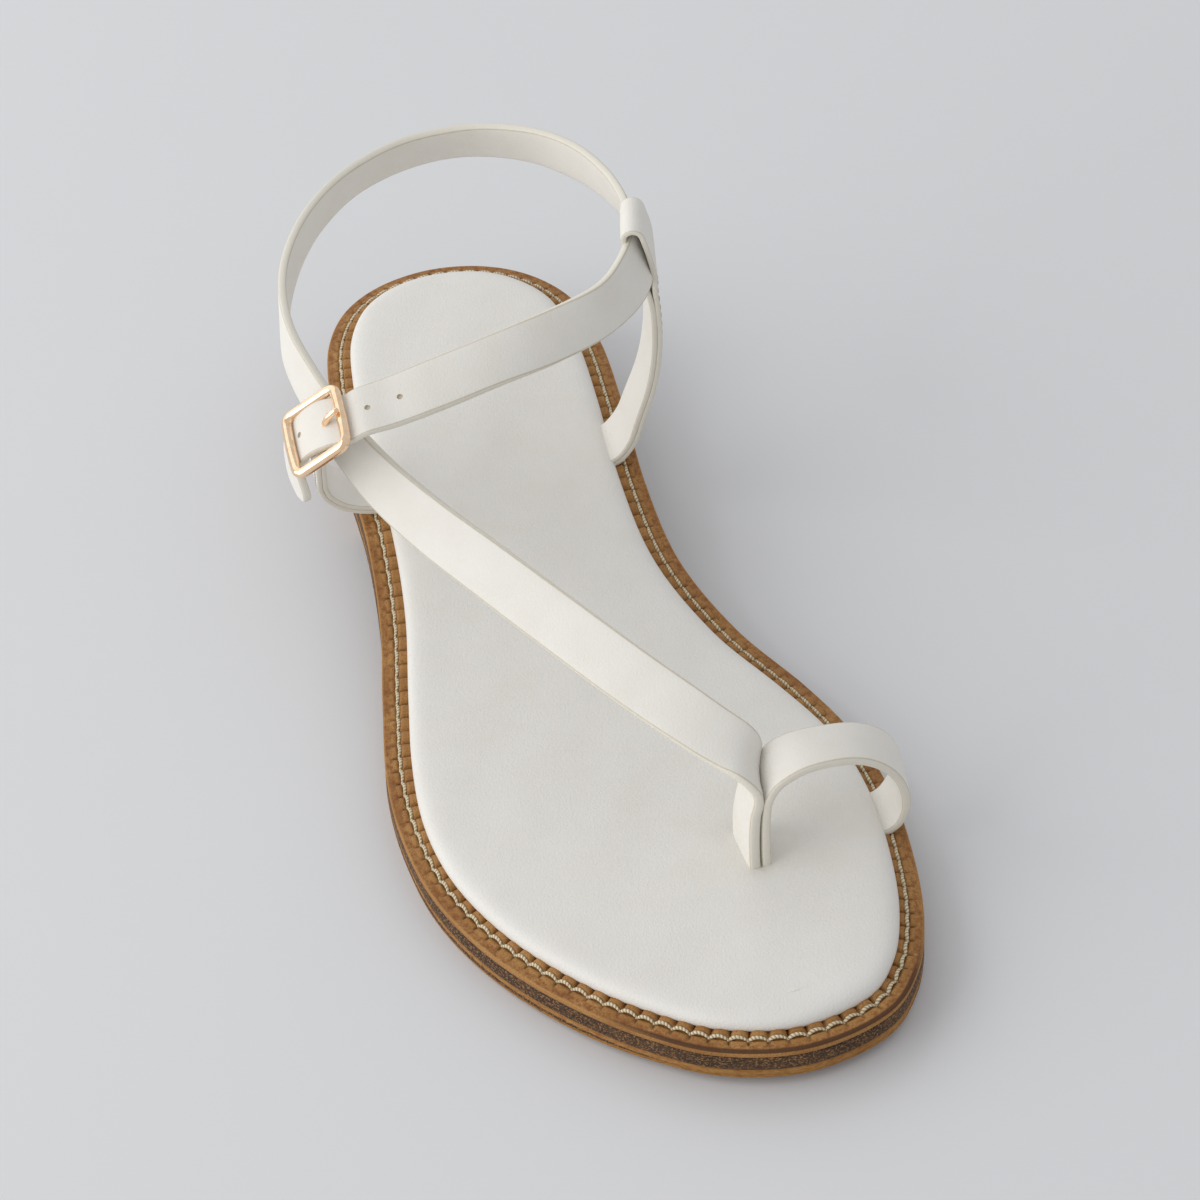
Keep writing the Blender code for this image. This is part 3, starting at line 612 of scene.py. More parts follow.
def leather_grain():
    """A group for the fine pores of leather: a height for the bump and a mottle for colour."""
    inputs = {"Place": "Vector", "Pore Scale": "Float"}
    outputs = {"Height": "Float", "Mottle": "Float"}
    group, given, taken = effect_group("leather_grain", inputs, outputs)
    place, scale = given["Place"], given["Pore Scale"]
    cells = add(group, "TexVoronoi", {"Vector": place, "Scale": scale}).outputs["Distance"]
    finer = calc(group, "MULTIPLY", scale, PORE_FINENESS)
    pores = add(group, "TexNoise", {"Vector": place, "Scale": finer, "Detail": 2.0}).outputs[0]
    wider = calc(group, "MULTIPLY", scale, MOTTLE_FINENESS)
    clouds = add(group, "TexNoise", {"Vector": place, "Scale": wider, "Detail": 3.0}).outputs[0]
    cells = calc(group, "MULTIPLY", cells, CELL_SHARE)
    pores = calc(group, "MULTIPLY", pores, PORE_SHARE)
    group.links.new(calc(group, "ADD", cells, pores), taken["Height"])
    group.links.new(clouds, taken["Mottle"])
    return group


def grain_of(tree, place, pore_scale):
    """The height and the mottle of a piece's leather grain."""
    sockets = {"Place": place, "Pore Scale": pore_scale}
    grain = add(tree, "Group", sockets, node_tree=grain_group)
    return grain.outputs["Height"], grain.outputs["Mottle"]


def welt_finish():
    """Tan leather: orange grain, darker along its cut edge and where pressed, with painted shade in
    the recesses and on the toe's rim, and a painted highlight on the top edge.
    """
    material, tree, shader, place = finish_of("welt_tan_leather")
    height, mottle = grain_of(tree, place, WELT_PORES)
    _, streaks = edge_streaks(tree, place)
    fine = speckled(tree, place, size=0.32, detail=2.0)
    base = blend(tree, ranged(tree, mottle, 0.35, 0.65), WELT_TAN, WELT_LIGHT)
    base = blend(tree, ranged(tree, fine, 0.45, 0.75, 0.0, 0.8), base, WELT_RUST)
    worn = ranged(tree, streaks, 0.42, 0.62, 0.0, 0.8)
    base = blend(tree, calc(tree, "MULTIPLY", mark_of(tree, "rim"), worn), base, WELT_RUST)
    # Painted highlight: the corner mark lightens the top outer edge towards WELT_LIGHT.
    base = blend(tree, calc(tree, "MULTIPLY", mark_of(tree, "corner"), 0.8), base, WELT_LIGHT)
    # Pressed leather and painted shade, darkened in one colour.
    pressed_and_shade = ranged(tree, mark_of(tree, "pressed_and_shade"), 0.1, 0.9, 0.0, 0.92)
    base = blend(tree, pressed_and_shade, base, WELT_PRESSED_SHADE)
    dark = blend(tree, ranged(tree, streaks, 0.45, 0.7), LAYER_DARK, LAYER_FLECK)
    base = blend(tree, dark_layers(tree, streaks), base, dark)
    dressed(tree, shader, base, ranged(tree, height, 0.2, 0.9, 0.48, 0.7), height, depth=0.07)
    shader.inputs["Specular IOR Level"].default_value = MATTE_SPECULAR
    return material


grain_group = leather_grain()
welt.data.materials.append(welt_finish())
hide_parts("welt")
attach(welt, "root")


# Welt thread: cream twisted thread, one short arch over each pillow of the welt,
# going down into the stitch holes at both ends.
THREAD_RADIUS = 0.3
THREAD_SPREAD = 1.2
THREAD_SIDES = 8
THREAD_ROWS = [  # share of the pitch along, height over the leather, share of the radius
    (0.0, -0.35, 0.7), (0.05, 0.05, 1.0), (0.15, 0.34, 1.15), (0.3, 0.54, 1.15), (0.5, 0.6, 1.05),
    (0.7, 0.5, 0.9), (0.87, 0.22, 0.75), (0.96, -0.1, 0.65), (1.0, -0.4, 0.5),
]
THREAD_SLANT = -0.2
THREAD_BOW = 0.3
THREAD_CREAM = (226, 216, 188)
# Painted shade in the troughs between the plies, and darker fuzz.
THREAD_SHADE = (158, 136, 98)
PLY_SCALE = 900.0
PLY_STRETCH = (0.55, 1.0, 1.0)
STITCH_SHARES = (0.2, 0.5, 0.8)  # behind, at and ahead of a stitch's middle
UPRIGHT = 1e-6


def tube_rings(route, radii, sides, spread=1.0):
    """Rings of a round or flattened wire along a route, closed to a point at both ends."""
    route = np.array(route, float)
    along = unit_rows(np.gradient(route, axis=0))
    side = np.cross(along, (0.0, 0.0, 1.0))
    side[np.linalg.norm(side, axis=1) < UPRIGHT] = (1.0, 0.0, 0.0)
    side = unit_rows(side)
    up = np.cross(side, along)
    turns = np.linspace(0.0, 2 * math.pi, sides + 1)
    rings = [np.repeat(route[:1], sides + 1, axis=0)]
    for point, s, u, radius in zip(route, side, up, radii):
        ring = np.cos(turns)[:, None] * s * spread + np.sin(turns)[:, None] * u
        rings.append(point + radius * ring)
    rings.append(np.repeat(route[-1:], sides + 1, axis=0))
    return np.array(rings)


def placed_copies(pattern, name, places):
    """Copies of one piece, each with its own mesh set at its place, joined as one."""
    copies = []
    for place in places:
        twin = pattern.copy()
        twin.data = pattern.data.copy()
        twin.data.transform(place)
        bpy.context.collection.objects.link(twin)
        copies.append(twin)
    bpy.data.objects.remove(pattern, do_unlink=True)
    bpy.ops.object.select_all(action="DESELECT")
    for twin in copies:
        twin.select_set(True)
    bpy.context.view_layer.objects.active = copies[0]
    bpy.ops.object.join()
    piece = bpy.context.active_object
    piece.name = piece.data.name = name
    return piece


def standing_at(point, along, up):
    """A matrix in metres that sets a pattern's x along a seam and its z out of the leather."""
    x = Vector(along).normalized()
    y = Vector(up).cross(x).normalized()
    turn = Matrix((x, y, x.cross(y))).transposed().to_4x4()
    there = Matrix.Translation(Vector((np.array(point) + shift) * MM))
    return there @ turn @ Matrix.Translation(-Vector(shift) * MM)


def thread_finish(name, light, shade):
    """Twisted thread: two plies wound round each other, a little shiny, with painted shade in the
    troughs between the plies and random darker fuzz.
    """
    material, tree, shader, place = finish_of(name)
    wound = stretched(tree, add(tree, "UVMap").outputs[0], PLY_STRETCH)
    sockets = {"Vector": wound, "Scale": PLY_SCALE}
    ply = add(tree, "TexWave", sockets, bands_direction="DIAGONAL").outputs["Fac"]
    fuzz = speckled(tree, place, size=0.3, detail=2.0)
    # Painted shade and highlight: the colour follows the ply relief, darker in its troughs.
    base = blend(tree, ranged(tree, ply, 0.0, 0.6), shade, light)
    base = blend(tree, ranged(tree, fuzz, 0.4, 0.8, 0.0, 0.4), base, shade)
    dressed(tree, shader, base, 0.6, ply, depth=0.12)
    return material


def on_stitch_line(turn):
    return np.array([np.interp(turn, stitch_turn, column) for column in stitch_line.T])


pitch = lap_length / stitch_count
thread_route = [
    ((at - 0.5) * pitch, (at - 0.5) * THREAD_SLANT + THREAD_BOW * math.sin(math.pi * at), lift)
    for at, lift, _ in THREAD_ROWS
]
thread_radii = [THREAD_RADIUS * share for _, _, share in THREAD_ROWS]
stitch_rings = tube_rings(thread_route, thread_radii, THREAD_SIDES, THREAD_SPREAD)
stitch = closed_up(laid_grid("welt_stitch", stitch_rings), angle=80.0)
stitch_places = []
for k in range(stitch_count):
    behind, middle, ahead = [on_stitch_line(k + share) for share in STITCH_SHARES]
    along = (*(ahead - behind), welt_top(ahead[1]) - welt_top(behind[1]))
    stitch_places.append(standing_at((*middle, welt_top(middle[1])), along, (0, 0, 1)))
welt_thread = placed_copies(stitch, "welt_thread", stitch_places)
welt_thread.data.materials.append(thread_finish("welt_thread_cream", THREAD_CREAM, THREAD_SHADE))
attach(welt_thread, "root")


# Insole: the padded footbed, white leather drawn over foam and turned under at a
# soft rounded edge. It lies on the welt and the straps go down beside and through it.
PAD_HEIGHT = 3.84
PAD_CROWN = 0.12
INSOLE_SIDE = [  # height over the welt, set in
    (-0.2, 6.7), (0.0, 5.6), (0.3, 5.1), (0.8, 4.8), (1.4, 4.7), (2.0, 4.8), (2.6, 5.15), (3.1, 5.7),
    (3.45, 6.5), (3.68, 7.6), (3.8, 9.2), (PAD_HEIGHT, 11.5),
]
WAIST_DRAW = 0.9
WAIST_DRAW_Y = -55.0
WAIST_DRAW_SPAN = 30.0
INSOLE_SHARES = (0.93, 0.84, 0.74, 0.62, 0.5, 0.38, 0.26, 0.14, 0.05, 0.0)
UNDER_SHARES = (0.5, 0.0)
POST = (17.2, -75.8)
POST_REACH = (1.9, 5.9)
POST_SINK = 1.0
POST_SOFTNESS = 1.5
LOOP_FEET = [(22.5, 46.0, 5.6), (-35.5, 47.0, 5.6), (43.0, -72.4, 5.6)]  # place, half width
FOOT_SINK = 0.3
FOOT_SOFTNESS = 2.6
FOOT_STRETCH = 1.4
SWELL = 0.14
SWELL_WAVE = (0.11, 0.043)
SWELL_BREAK = (0.071, 0.6)
RIPPLE = 0.05
RIPPLE_WAVE = (0.31, 0.17)
SOFT_FROM = 0.6
SOFT_SPAN = 2.6
INSOLE_WHITE = (226, 224, 219)
INSOLE_WARM = (224, 221, 215)
WHITE_PORES = 2000.0


def padded_height(x, y):
    """Soft sinks of the padding: at the toe post's slot and under each strap's foot."""
    beside = np.maximum(np.abs(x - POST[0]) - POST_REACH[0], 0)
    before = np.maximum(np.abs(y - POST[1]) - POST_REACH[1], 0)
    sunk = POST_SINK * np.exp(-((np.hypot(beside, before) / POST_SOFTNESS) ** 2))
    for foot_x, foot_y, half in LOOP_FEET:
        away = np.hypot((x - foot_x) / FOOT_STRETCH, np.maximum(np.abs(y - foot_y) - half, 0))
        sunk = sunk + FOOT_SINK * np.exp(-((away / FOOT_SOFTNESS) ** 2))
    swell = SWELL * np.sin(x * SWELL_WAVE[0] + y * SWELL_WAVE[1])
    swell = swell * np.sin(y * SWELL_BREAK[0] - SWELL_BREAK[1])
    ripple = RIPPLE * np.sin(x * RIPPLE_WAVE[0] - y * RIPPLE_WAVE[1])
    return swell + ripple - sunk


insole_sides = []
waist_draw = WAIST_DRAW * eased((edge_y - WAIST_DRAW_Y) / WAIST_DRAW_SPAN)
for height, inset in INSOLE_SIDE:
    ring = set_in(paired_edge, inset + waist_draw)
    insole_sides.append(raised(ring, welt_top(ring[:, 1]) + height))
insole_under = to_middle(insole_sides[0], UNDER_SHARES)[::-1]
insole_top = to_middle(insole_sides[-1], INSOLE_SHARES)
for ring, share in zip(insole_top, INSOLE_SHARES):
    ring[:, 2] = welt_top(ring[:, 1]) + PAD_HEIGHT + PAD_CROWN * (1 - share)
insole_rings = np.array(insole_under + insole_sides + insole_top)
over_welt = insole_rings[:, :, 2] - welt_top(insole_rings[:, :, 1])
softness = eased((over_welt - SOFT_FROM) / SOFT_SPAN)
insole_rings[:, :, 2] += padded_height(insole_rings[:, :, 0], insole_rings[:, :, 1]) * softness
insole = closed_up(laid_grid("insole_footbed", insole_rings), angle=70.0)
smoother = insole.modifiers.new("smoother", "SUBSURF")
smoother.levels = smoother.render_levels = 1
bpy.ops.object.modifier_apply(modifier="smoother")


def white_leather(name, light, warm, depth, edge=None, line=None):
    """Smooth white leather with very fine pores; cream paint on the cut edges of straps."""
    material, tree, shader, place = finish_of(name)
    height, mottle = grain_of(tree, place, WHITE_PORES)
    base = blend(tree, ranged(tree, mottle, 0.35, 0.7), light, warm)
    base = blend(tree, ranged(tree, height, 0.55, 1.0, 0.0, 0.25), base, warm)
    if edge:
        shade = ranged(tree, speckled(tree, place, size=1.2), 0.35, 0.7, 0.75, 1.0)
        for mark, paint in (("cut_edge", edge), ("edge_line", line)):
            base = blend(tree, calc(tree, "MULTIPLY", mark_of(tree, mark), shade), base, paint)
    dressed(tree, shader, base, ranged(tree, height, 0.2, 0.9, 0.44, 0.62), height, depth)
    return material


insole_leather = white_leather("insole_white_leather", INSOLE_WHITE, INSOLE_WARM, depth=0.07)
insole.data.materials.append(insole_leather)
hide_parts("insole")
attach(insole, "root")


# Toe ring: a white leather strap with painted edges. It comes up through the slot
# between the toes, goes over the big toe and is tucked between welt and insole.
STRAP_WIDTH = 11.5
STRAP_WHITE = (229, 226, 219)
STRAP_WARM = (226, 222, 214)
EDGE_CREAM = (222, 217, 204)
EDGE_LINE = (190, 180, 154)
EDGE_POINTS = 7
EDGE_SQUARE = 0.75
EDGE_ROUND = 0.6
PAINT_LIMIT = 0.9
LINE_LIMIT = 0.99
FACE_POINTS = 15
FACE_DROP = 0.10
END_SHARE = 0.9
ROW_STEP = 1.0
CURVE_STEPS = 24
TOE_RING = [  # place, direction across the strap, thickness
    (18.5, -75.8, 8.5, -0.05, 1.0, 0.0, 2.0),
    (18.7, -75.8, 18.0, -0.02, 1.0, 0.02, 2.0),
    (19.5, -75.8, 25.0, 0.08, 0.98, 0.12, 2.0),
    (20.6, -75.7, 29.2, 0.18, 0.95, 0.22, 2.0),
    (22.8, -75.6, 32.2, 0.24, 0.95, 0.16, 2.0),
    (27.0, -75.5, 34.0, 0.22, 0.97, 0.0, 2.0),
    (33.4, -75.2, 33.9, 0.18, 0.98, -0.10, 2.0),
    (39.9, -74.6, 31.9, 0.18, 0.98, -0.10, 2.0),
    (45.0, -73.9, 27.8, 0.18, 0.98, -0.06, 2.0),
    (48.1, -73.3, 22.6, 0.16, 0.98, 0.0, 2.0),
    (49.0, -72.8, 17.2, 0.10, 1.0, 0.0, 2.0),
    (48.3, -72.5, 13.0, 0.04, 1.0, 0.0, 1.9),
    (46.2, -72.4, 10.0, 0.0, 1.0, 0.0, 1.7),
    (43.0, -72.4, 8.9, 0.0, 1.0, 0.0, 1.6),
    (39.6, -72.4, 8.8, 0.0, 1.0, 0.0, 1.6),
]


def strap_section():
    """Half width and half thickness shares round a strap's cut, and how much of it is edge."""
    face = np.linspace(1.0, -1.0, FACE_POINTS)[1:-1]
    turns = np.linspace(0.5 * math.pi, 1.5 * math.pi, EDGE_POINTS + 2)
    bow, rise = [np.sign(s) * np.abs(s) ** EDGE_SQUARE for s in (np.cos(turns), np.sin(turns))]
    painted = (np.abs(rise) < PAINT_LIMIT) * 1.0
    border = (np.abs(rise) > PAINT_LIMIT) * (np.abs(rise) < LINE_LIMIT) * 1.0
    none, flat, side = 0 * face, np.ones(len(face)), np.ones(len(turns))
    parts = (
        (face, -side, -face, side),
        (none, -bow, none, bow),
        (flat, rise, -flat, -rise),
        (none, painted, none, painted),
        (none, border, none, border),
    )
    stacked = [np.concatenate(part) for part in parts]
    return [np.append(part, part[0]) for part in stacked]


def rows_along(line, outward, step):
    """Even rows of a strap: place, along, across, out of its good face, thickness, reach."""
    line = evenly(line, int(walked(line)[-1] / step) + 1)
    along = unit_rows(np.gradient(line[:, :3], axis=0))
    across = line[:, 3:6] - along * np.sum(line[:, 3:6] * along, axis=1)[:, None]
    across = unit_rows(across)
    return {
        "place": line[:, :3],
        "along": along,
        "across": across,
        "out": np.cross(across, along) * outward,
        "thick": line[:, 6],
        "reach": walked(line),
    }


def strap_frame(rows, outward, step=ROW_STEP):
    return rows_along(curve_through(rows, CURVE_STEPS), outward, step)


def strap_piece(name, rows, width, relief=None):
    """A strap swept along its rows, with rounded painted edges and closed ends."""
    across, round_off, lift, edge, line = strap_section()
    widths = np.broadcast_to(width, len(rows["place"]))
    rings = []
    for k, (place, sideways, out) in enumerate(zip(rows["place"], rows["across"], rows["out"])):
        half = rows["thick"][k] / 2
        offset = across * (widths[k] / 2 - EDGE_ROUND * half)
        offset = offset + np.sign(across) * np.abs(round_off) * EDGE_ROUND * half
        raise_by = lift * half - FACE_DROP * half * across**4 * lift
        if relief is not None:
            raise_by = raise_by + relief(rows["reach"][k], offset, lift)
        rings.append(place + sideways * offset[:, None] + out * raise_by[:, None])
    start, end = [
        rows["place"][k] + rows["across"][k] * (across * widths[k] / 2 * END_SHARE)[:, None]
        for k in (0, -1)
    ]
    rings = np.array([start, *rings, end])
    piece = laid_grid(name, rings)
    marks = np.tile(edge, (len(rings), 1))
    marks[[0, 1, -2, -1]] = 1.0
    marked(piece, "cut_edge", marks)
    marked(piece, "edge_line", np.tile(line, (len(rings), 1)))
    return closed_up(piece, angle=60.0)


strap_leather = white_leather(
    "strap_white_leather", STRAP_WHITE, STRAP_WARM, depth=0.06, edge=EDGE_CREAM, line=EDGE_LINE
)
toe_ring = strap_piece("toe_ring_strap", strap_frame(TOE_RING, -1.0), STRAP_WIDTH)
toe_ring.data.materials.append(strap_leather)
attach(toe_ring, "root")


# Long strap: one white leather strap from the slot between the toes over the instep,
# round behind the ankle and across the front into the buckle, with punched holes.
LONG_STRAP = [  # place, direction across the strap, thickness
    (16.2, -75.8, 8.5, -0.05, 1.0, 0.0, 2.5),
    (16.4, -75.8, 18.0, -0.02, 1.0, 0.02, 2.5),
    (17.3, -75.8, 25.0, 0.08, 0.98, 0.12, 2.4),
    (18.6, -75.4, 30.0, 0.20, 0.93, 0.26, 2.2),
    (17.2, -73.4, 34.5, 0.34, 0.87, 0.34, 2.0),
    (11.2, -67.0, 38.0, 0.50, 0.76, 0.38, 2.0),
    (1.5, -53.3, 41.2, 0.64, 0.55, 0.50, 2.0),
    (-11.0, -33.0, 44.7, 0.64, 0.42, 0.63, 2.0),
    (-20.0, -18.6, 47.6, 0.58, 0.34, 0.72, 2.0),
    (-28.0, -6.0, 50.4, 0.50, 0.27, 0.82, 2.0),
    (-35.4, 7.0, 53.9, 0.42, 0.14, 0.90, 2.0),
    (-40.8, 20.0, 57.8, 0.30, 0.02, 0.95, 2.0),
    (-44.6, 32.0, 62.2, 0.22, -0.08, 0.97, 2.0),
    (-46.7, 44.0, 66.3, 0.14, -0.10, 0.98, 2.0),
    (-44.9, 57.0, 68.8, 0.05, -0.05, 1.0, 2.0),
    (-39.5, 71.5, 69.8, 0.08, -0.10, 1.0, 2.0),
    (-31.2, 85.0, 69.8, 0.15, -0.20, 1.0, 2.0),
    (-20.4, 95.5, 69.5, 0.14, -0.36, 0.95, 2.0),
    (-8.0, 101.2, 69.2, 0.0, -0.42, 0.91, 2.0),
    (5.0, 101.2, 69.2, 0.0, -0.42, 0.91, 2.0),
    (17.0, 94.5, 69.7, -0.12, -0.32, 0.95, 2.0),
    (25.4, 83.0, 70.6, -0.20, -0.10, 1.0, 2.0),
    (29.8, 69.0, 71.8, -0.25, 0.0, 1.0, 2.0),
    (31.0, 54.5, 73.2, -0.30, 0.0, 1.0, 2.0),
    (29.7, 42.0, 73.7, -0.34, 0.06, 0.95, 2.0),
    (25.0, 32.2, 73.3, -0.38, 0.14, 0.92, 2.0),
    (17.4, 24.6, 73.0, -0.10, 0.28, 0.96, 2.0),
    (5.0, 18.6, 73.2, 0.0, 0.62, 0.79, 2.0),
    (-9.0, 14.6, 72.9, 0.0, 0.87, 0.50, 2.0),
    (-23.0, 12.2, 71.5, 0.0, 0.94, 0.35, 1.9),
    (-31.0, 11.6, 70.3, 0.0, 0.955, 0.29, 1.8),
]
FRONT_WIDTH = 10.8
FRONT_REACH = (335.0, 25.0)
BUCKLE_END_WIDTH = 11.9
BUCKLE_END_REACH = (368.0, 24.0)
TIP_LENGTH = 4.5
TIP_SQUARE = 2.5
TIP_ROWS = 14
TIP_TURN = 87.0
BUCKLE_CENTRE = np.array([-46.7, 12.9, 66.0])
BUCKLE_ALONG = (-0.806, 0.173, -0.567)
BUCKLE_ACROSS = (0.035, 0.969, 0.246)
THREADING = [  # distance along the buckle, distance across it, lift over its middle
    (-9.8, 0.5, -2.1), (-7.4, 0.4, -2.0), (-5.2, 0.1, -1.3), (-3.0, -0.4, -0.5), (0.0, -1.1, -0.2),
    (3.0, -1.7, -0.5), (5.2, -1.9, -1.3), (7.2, -2.1, -2.1), (8.6, -2.2, -3.1),
]
STRAP_END_THICKNESS = 1.6
STRAP_TIP = [  # place, direction across the strap, thickness
    (-51.7, 17.2, 56.2, -0.08, 0.98, 0.12, 1.8),
    (-51.5, 17.1, 52.0, -0.14, 0.98, 0.03, 1.9),
    (-51.3, 16.8, 47.6, -0.16, 0.98, -0.02, 1.9),
]
PRONG_HOLE = (-2.7, 0.0, 0.7)  # along the buckle, across it, lift
PUNCHED = [(-7.4, 0.5), (0.0, 3.0), (9.1, 0.5), (15.6, 0.5)]  # distance from the prong, depth
HOLE_RADIUS = 0.65
HOLE_SIDES = 20
HOLE_FIBRE = (226, 220, 206)
HOLE_SHADE = (200, 191, 172)

buckle_x = np.array(BUCKLE_ALONG) / np.linalg.norm(BUCKLE_ALONG)
buckle_y = -(np.array(BUCKLE_ACROSS) - buckle_x * np.dot(BUCKLE_ACROSS, buckle_x))
buckle_y /= np.linalg.norm(buckle_y)
buckle_z = np.cross(buckle_x, buckle_y)


def at_buckle(along, across, lift):
    return BUCKLE_CENTRE + buckle_x * along + buckle_y * across + buckle_z * lift


def raw_leather(name):
    """The cut fibres inside a punched hole, without paint."""
    material, tree, shader, place = finish_of(name)
    fibres = speckled(tree, place, size=0.3)
    base = blend(tree, ranged(tree, fibres, 0.35, 0.65), HOLE_SHADE, HOLE_FIBRE)
    dressed(tree, shader, base, ranged(tree, fibres, 0.3, 0.7, 0.75, 0.95), fibres, depth=0.05)
    return material


threaded = [(*at_buckle(*place), *-buckle_y, STRAP_END_THICKNESS) for place in THREADING]
long_rows = strap_frame(LONG_STRAP + threaded + STRAP_TIP, 1.0)
even_reach = long_rows["reach"]
tip_turns = np.radians(np.linspace(0.0, TIP_TURN, TIP_ROWS))
tip_reach = even_reach[-1] - TIP_LENGTH * (1.0 - np.sin(tip_turns))
tip_reach = np.concatenate([even_reach[even_reach < tip_reach[0] - ROW_STEP / 2], tip_reach])
long_rows = {
    key: np.array(
        [np.interp(tip_reach, even_reach, part) for part in np.atleast_2d(rows.T)]
    ).T.squeeze()
    for key, rows in long_rows.items()
}
front_share = eased((long_rows["reach"] - FRONT_REACH[0]) / FRONT_REACH[1])
end_share = eased((long_rows["reach"] - BUCKLE_END_REACH[0]) / BUCKLE_END_REACH[1])
into_tip = np.clip(1.0 - (even_reach[-1] - long_rows["reach"]) / TIP_LENGTH, 0.0, 1.0)
tip_round = (1.0 - into_tip**TIP_SQUARE) ** (1.0 / TIP_SQUARE)
long_width = STRAP_WIDTH + (FRONT_WIDTH - STRAP_WIDTH) * front_share
long_width = (long_width + (BUCKLE_END_WIDTH - FRONT_WIDTH) * end_share) * tip_round
long_strap = strap_piece("long_strap", long_rows, long_width)
long_strap.data.materials.append(strap_leather)
hole_wall = raw_leather("strap_hole_wall")
from_prong = np.linalg.norm(long_rows["place"] - at_buckle(*PRONG_HOLE), axis=1)
hole_row = int(np.argmin(from_prong))
for distance, hole_depth in PUNCHED:
    row = int(round(hole_row - distance / ROW_STEP))
    out = long_rows["out"][row]
    bpy.ops.object.select_all(action="DESELECT")
    bpy.ops.mesh.primitive_cylinder_add(
        vertices=HOLE_SIDES,
        radius=HOLE_RADIUS * MM,
        depth=2 * hole_depth * MM,
        location=(long_rows["place"][row] + out * long_rows["thick"][row] / 2 + shift) * MM,
        rotation=Vector(out).to_track_quat("Z", "Y").to_euler(),
    )
    punch = bpy.context.active_object
    punch.data.materials.append(hole_wall)
    bpy.ops.object.transform_apply(location=True, rotation=True, scale=True)
    cut = long_strap.modifiers.new("punched_hole", "BOOLEAN")
    cut.object, cut.operation, cut.solver, cut.material_mode = punch, "DIFFERENCE", "EXACT", "TRANSFER"
    bpy.context.view_layer.objects.active = long_strap
    bpy.ops.object.modifier_apply(modifier="punched_hole")
    bpy.data.objects.remove(punch, do_unlink=True)
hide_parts("upper")
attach(long_strap, "root")


# Inner loop: a white strap folded double that holds the long strap at the inner side.
# Its ends are tucked under the insole, and a stitched box closes the tunnel above.
LOOP_LAYER = 1.3
LOOP_TOUCH = 0.55
INNER_LOOP = [  # place, direction across the strap, half the gap between the layers
    (17.0, 46.0, 19.0, 0.0, 1.0, 0.13, LOOP_TOUCH),
    (20.8, 46.0, 19.8, 0.0, 1.0, 0.13, LOOP_TOUCH),
    (24.4, 46.0, 23.6, 0.02, 1.0, 0.12, LOOP_TOUCH),
    (27.0, 45.8, 30.0, 0.05, 1.0, 0.10, LOOP_TOUCH),
    (29.8, 45.3, 38.0, 0.07, 1.0, 0.08, LOOP_TOUCH),
    (31.3, 44.6, 46.0, 0.08, 1.0, 0.08, LOOP_TOUCH),
    (31.8, 43.8, 54.0, 0.09, 1.0, 0.10, LOOP_TOUCH),
    (31.6, 43.2, 61.2, 0.10, 1.0, 0.10, LOOP_TOUCH),
    (31.2, 43.0, 65.4, 0.14, 0.99, 0.10, 0.85),
    (30.8, 42.8, 68.2, 0.18, 0.98, 0.10, 1.6),
    (30.0, 42.5, 74.2, 0.25, 0.97, 0.08, 1.85),
    (28.5, 42.4, 79.9, 0.25, 0.97, 0.08, 2.0),
]
FOLD_STEP = 0.9
FOLD_POINTS = 9
SEAM_INSET = 1.7
SEAM_PITCH = 2.3
SEAM_RADIUS = 0.21
SEAM_SIDES = 6
SEAM_SINK = 0.13
SEAM_LENGTH = 0.78  # share of the pitch
SEAM_ARCH = 0.16
SEAM_ROWS = [  # share of the length, share of the radius
    (0.0, 0.5), (0.12, 0.9), (0.35, 1.0), (0.65, 1.0), (0.88, 0.9), (1.0, 0.5),
]
TROUGH_DEPTH = 0.16
TROUGH_WIDTH = 0.55
TROUGH_RUN = 1.5
INNER_SEAM_ENDS = (16.0, 16.0)  # distance from the fold and from the tucked end
BOX_TOP = 0.8
BOX_INSET = 1.1
BOX_STITCHES = 4
SEAM_THREAD = (214, 209, 198)
# Painted shade in the troughs between the plies, and darker fuzz.
SEAM_SHADE = (168, 160, 146)


def folded_rows(rows, outward):
    """A strap folded double: up the inside, round the fold, and down the outside."""
    layer = strap_frame(rows, outward, FOLD_STEP)
    gap = layer["thick"][:, None]
    inside = layer["place"] - layer["out"] * gap
    outside = layer["place"] + layer["out"] * gap
    top, out, along, across = [layer[key][-1] for key in ("place", "out", "along", "across")]
    turns = np.linspace(0.0, math.pi, FOLD_POINTS)[1:-1]
    fold = [top + gap[-1] * (along * math.sin(t) - out * math.cos(t)) for t in turns]
    path = np.vstack([inside, fold, outside[::-1]])
    across = np.vstack([layer["across"], [across] * len(fold), layer["across"][::-1]])
    path = np.column_stack([path, across, np.full(len(path), LOOP_LAYER)])
    return rows_along(path, -outward, FOLD_STEP)


def row_at(rows, reach):
    """Place, along, across and out of a strap at a distance along it."""
    columns = [rows[key].T for key in ("place", "along", "across", "out")]
    return [
        np.array([np.interp(reach, rows["reach"], part) for part in column]) for column in columns
    ]


def seam_point(place, across, out, inset):
    return place + across * inset + out * (LOOP_LAYER / 2 - SEAM_SINK)


def seam_span(rows, ends):
    """Where a loop's seams start and end, along its outer layer."""
    length = rows["reach"][-1]
    return length / 2 + ends[0], length - ends[1]


def seam_places(rows, start, end):
    """Matrices for the stitches of a loop's two seams, on its good face."""
    places = []
    for inset in seam_sides:
        for reach in np.arange(start, end, SEAM_PITCH):
            place, along, across, out = row_at(rows, reach)
            places.append(standing_at(seam_point(place, across, out, inset), along, out))
    return places


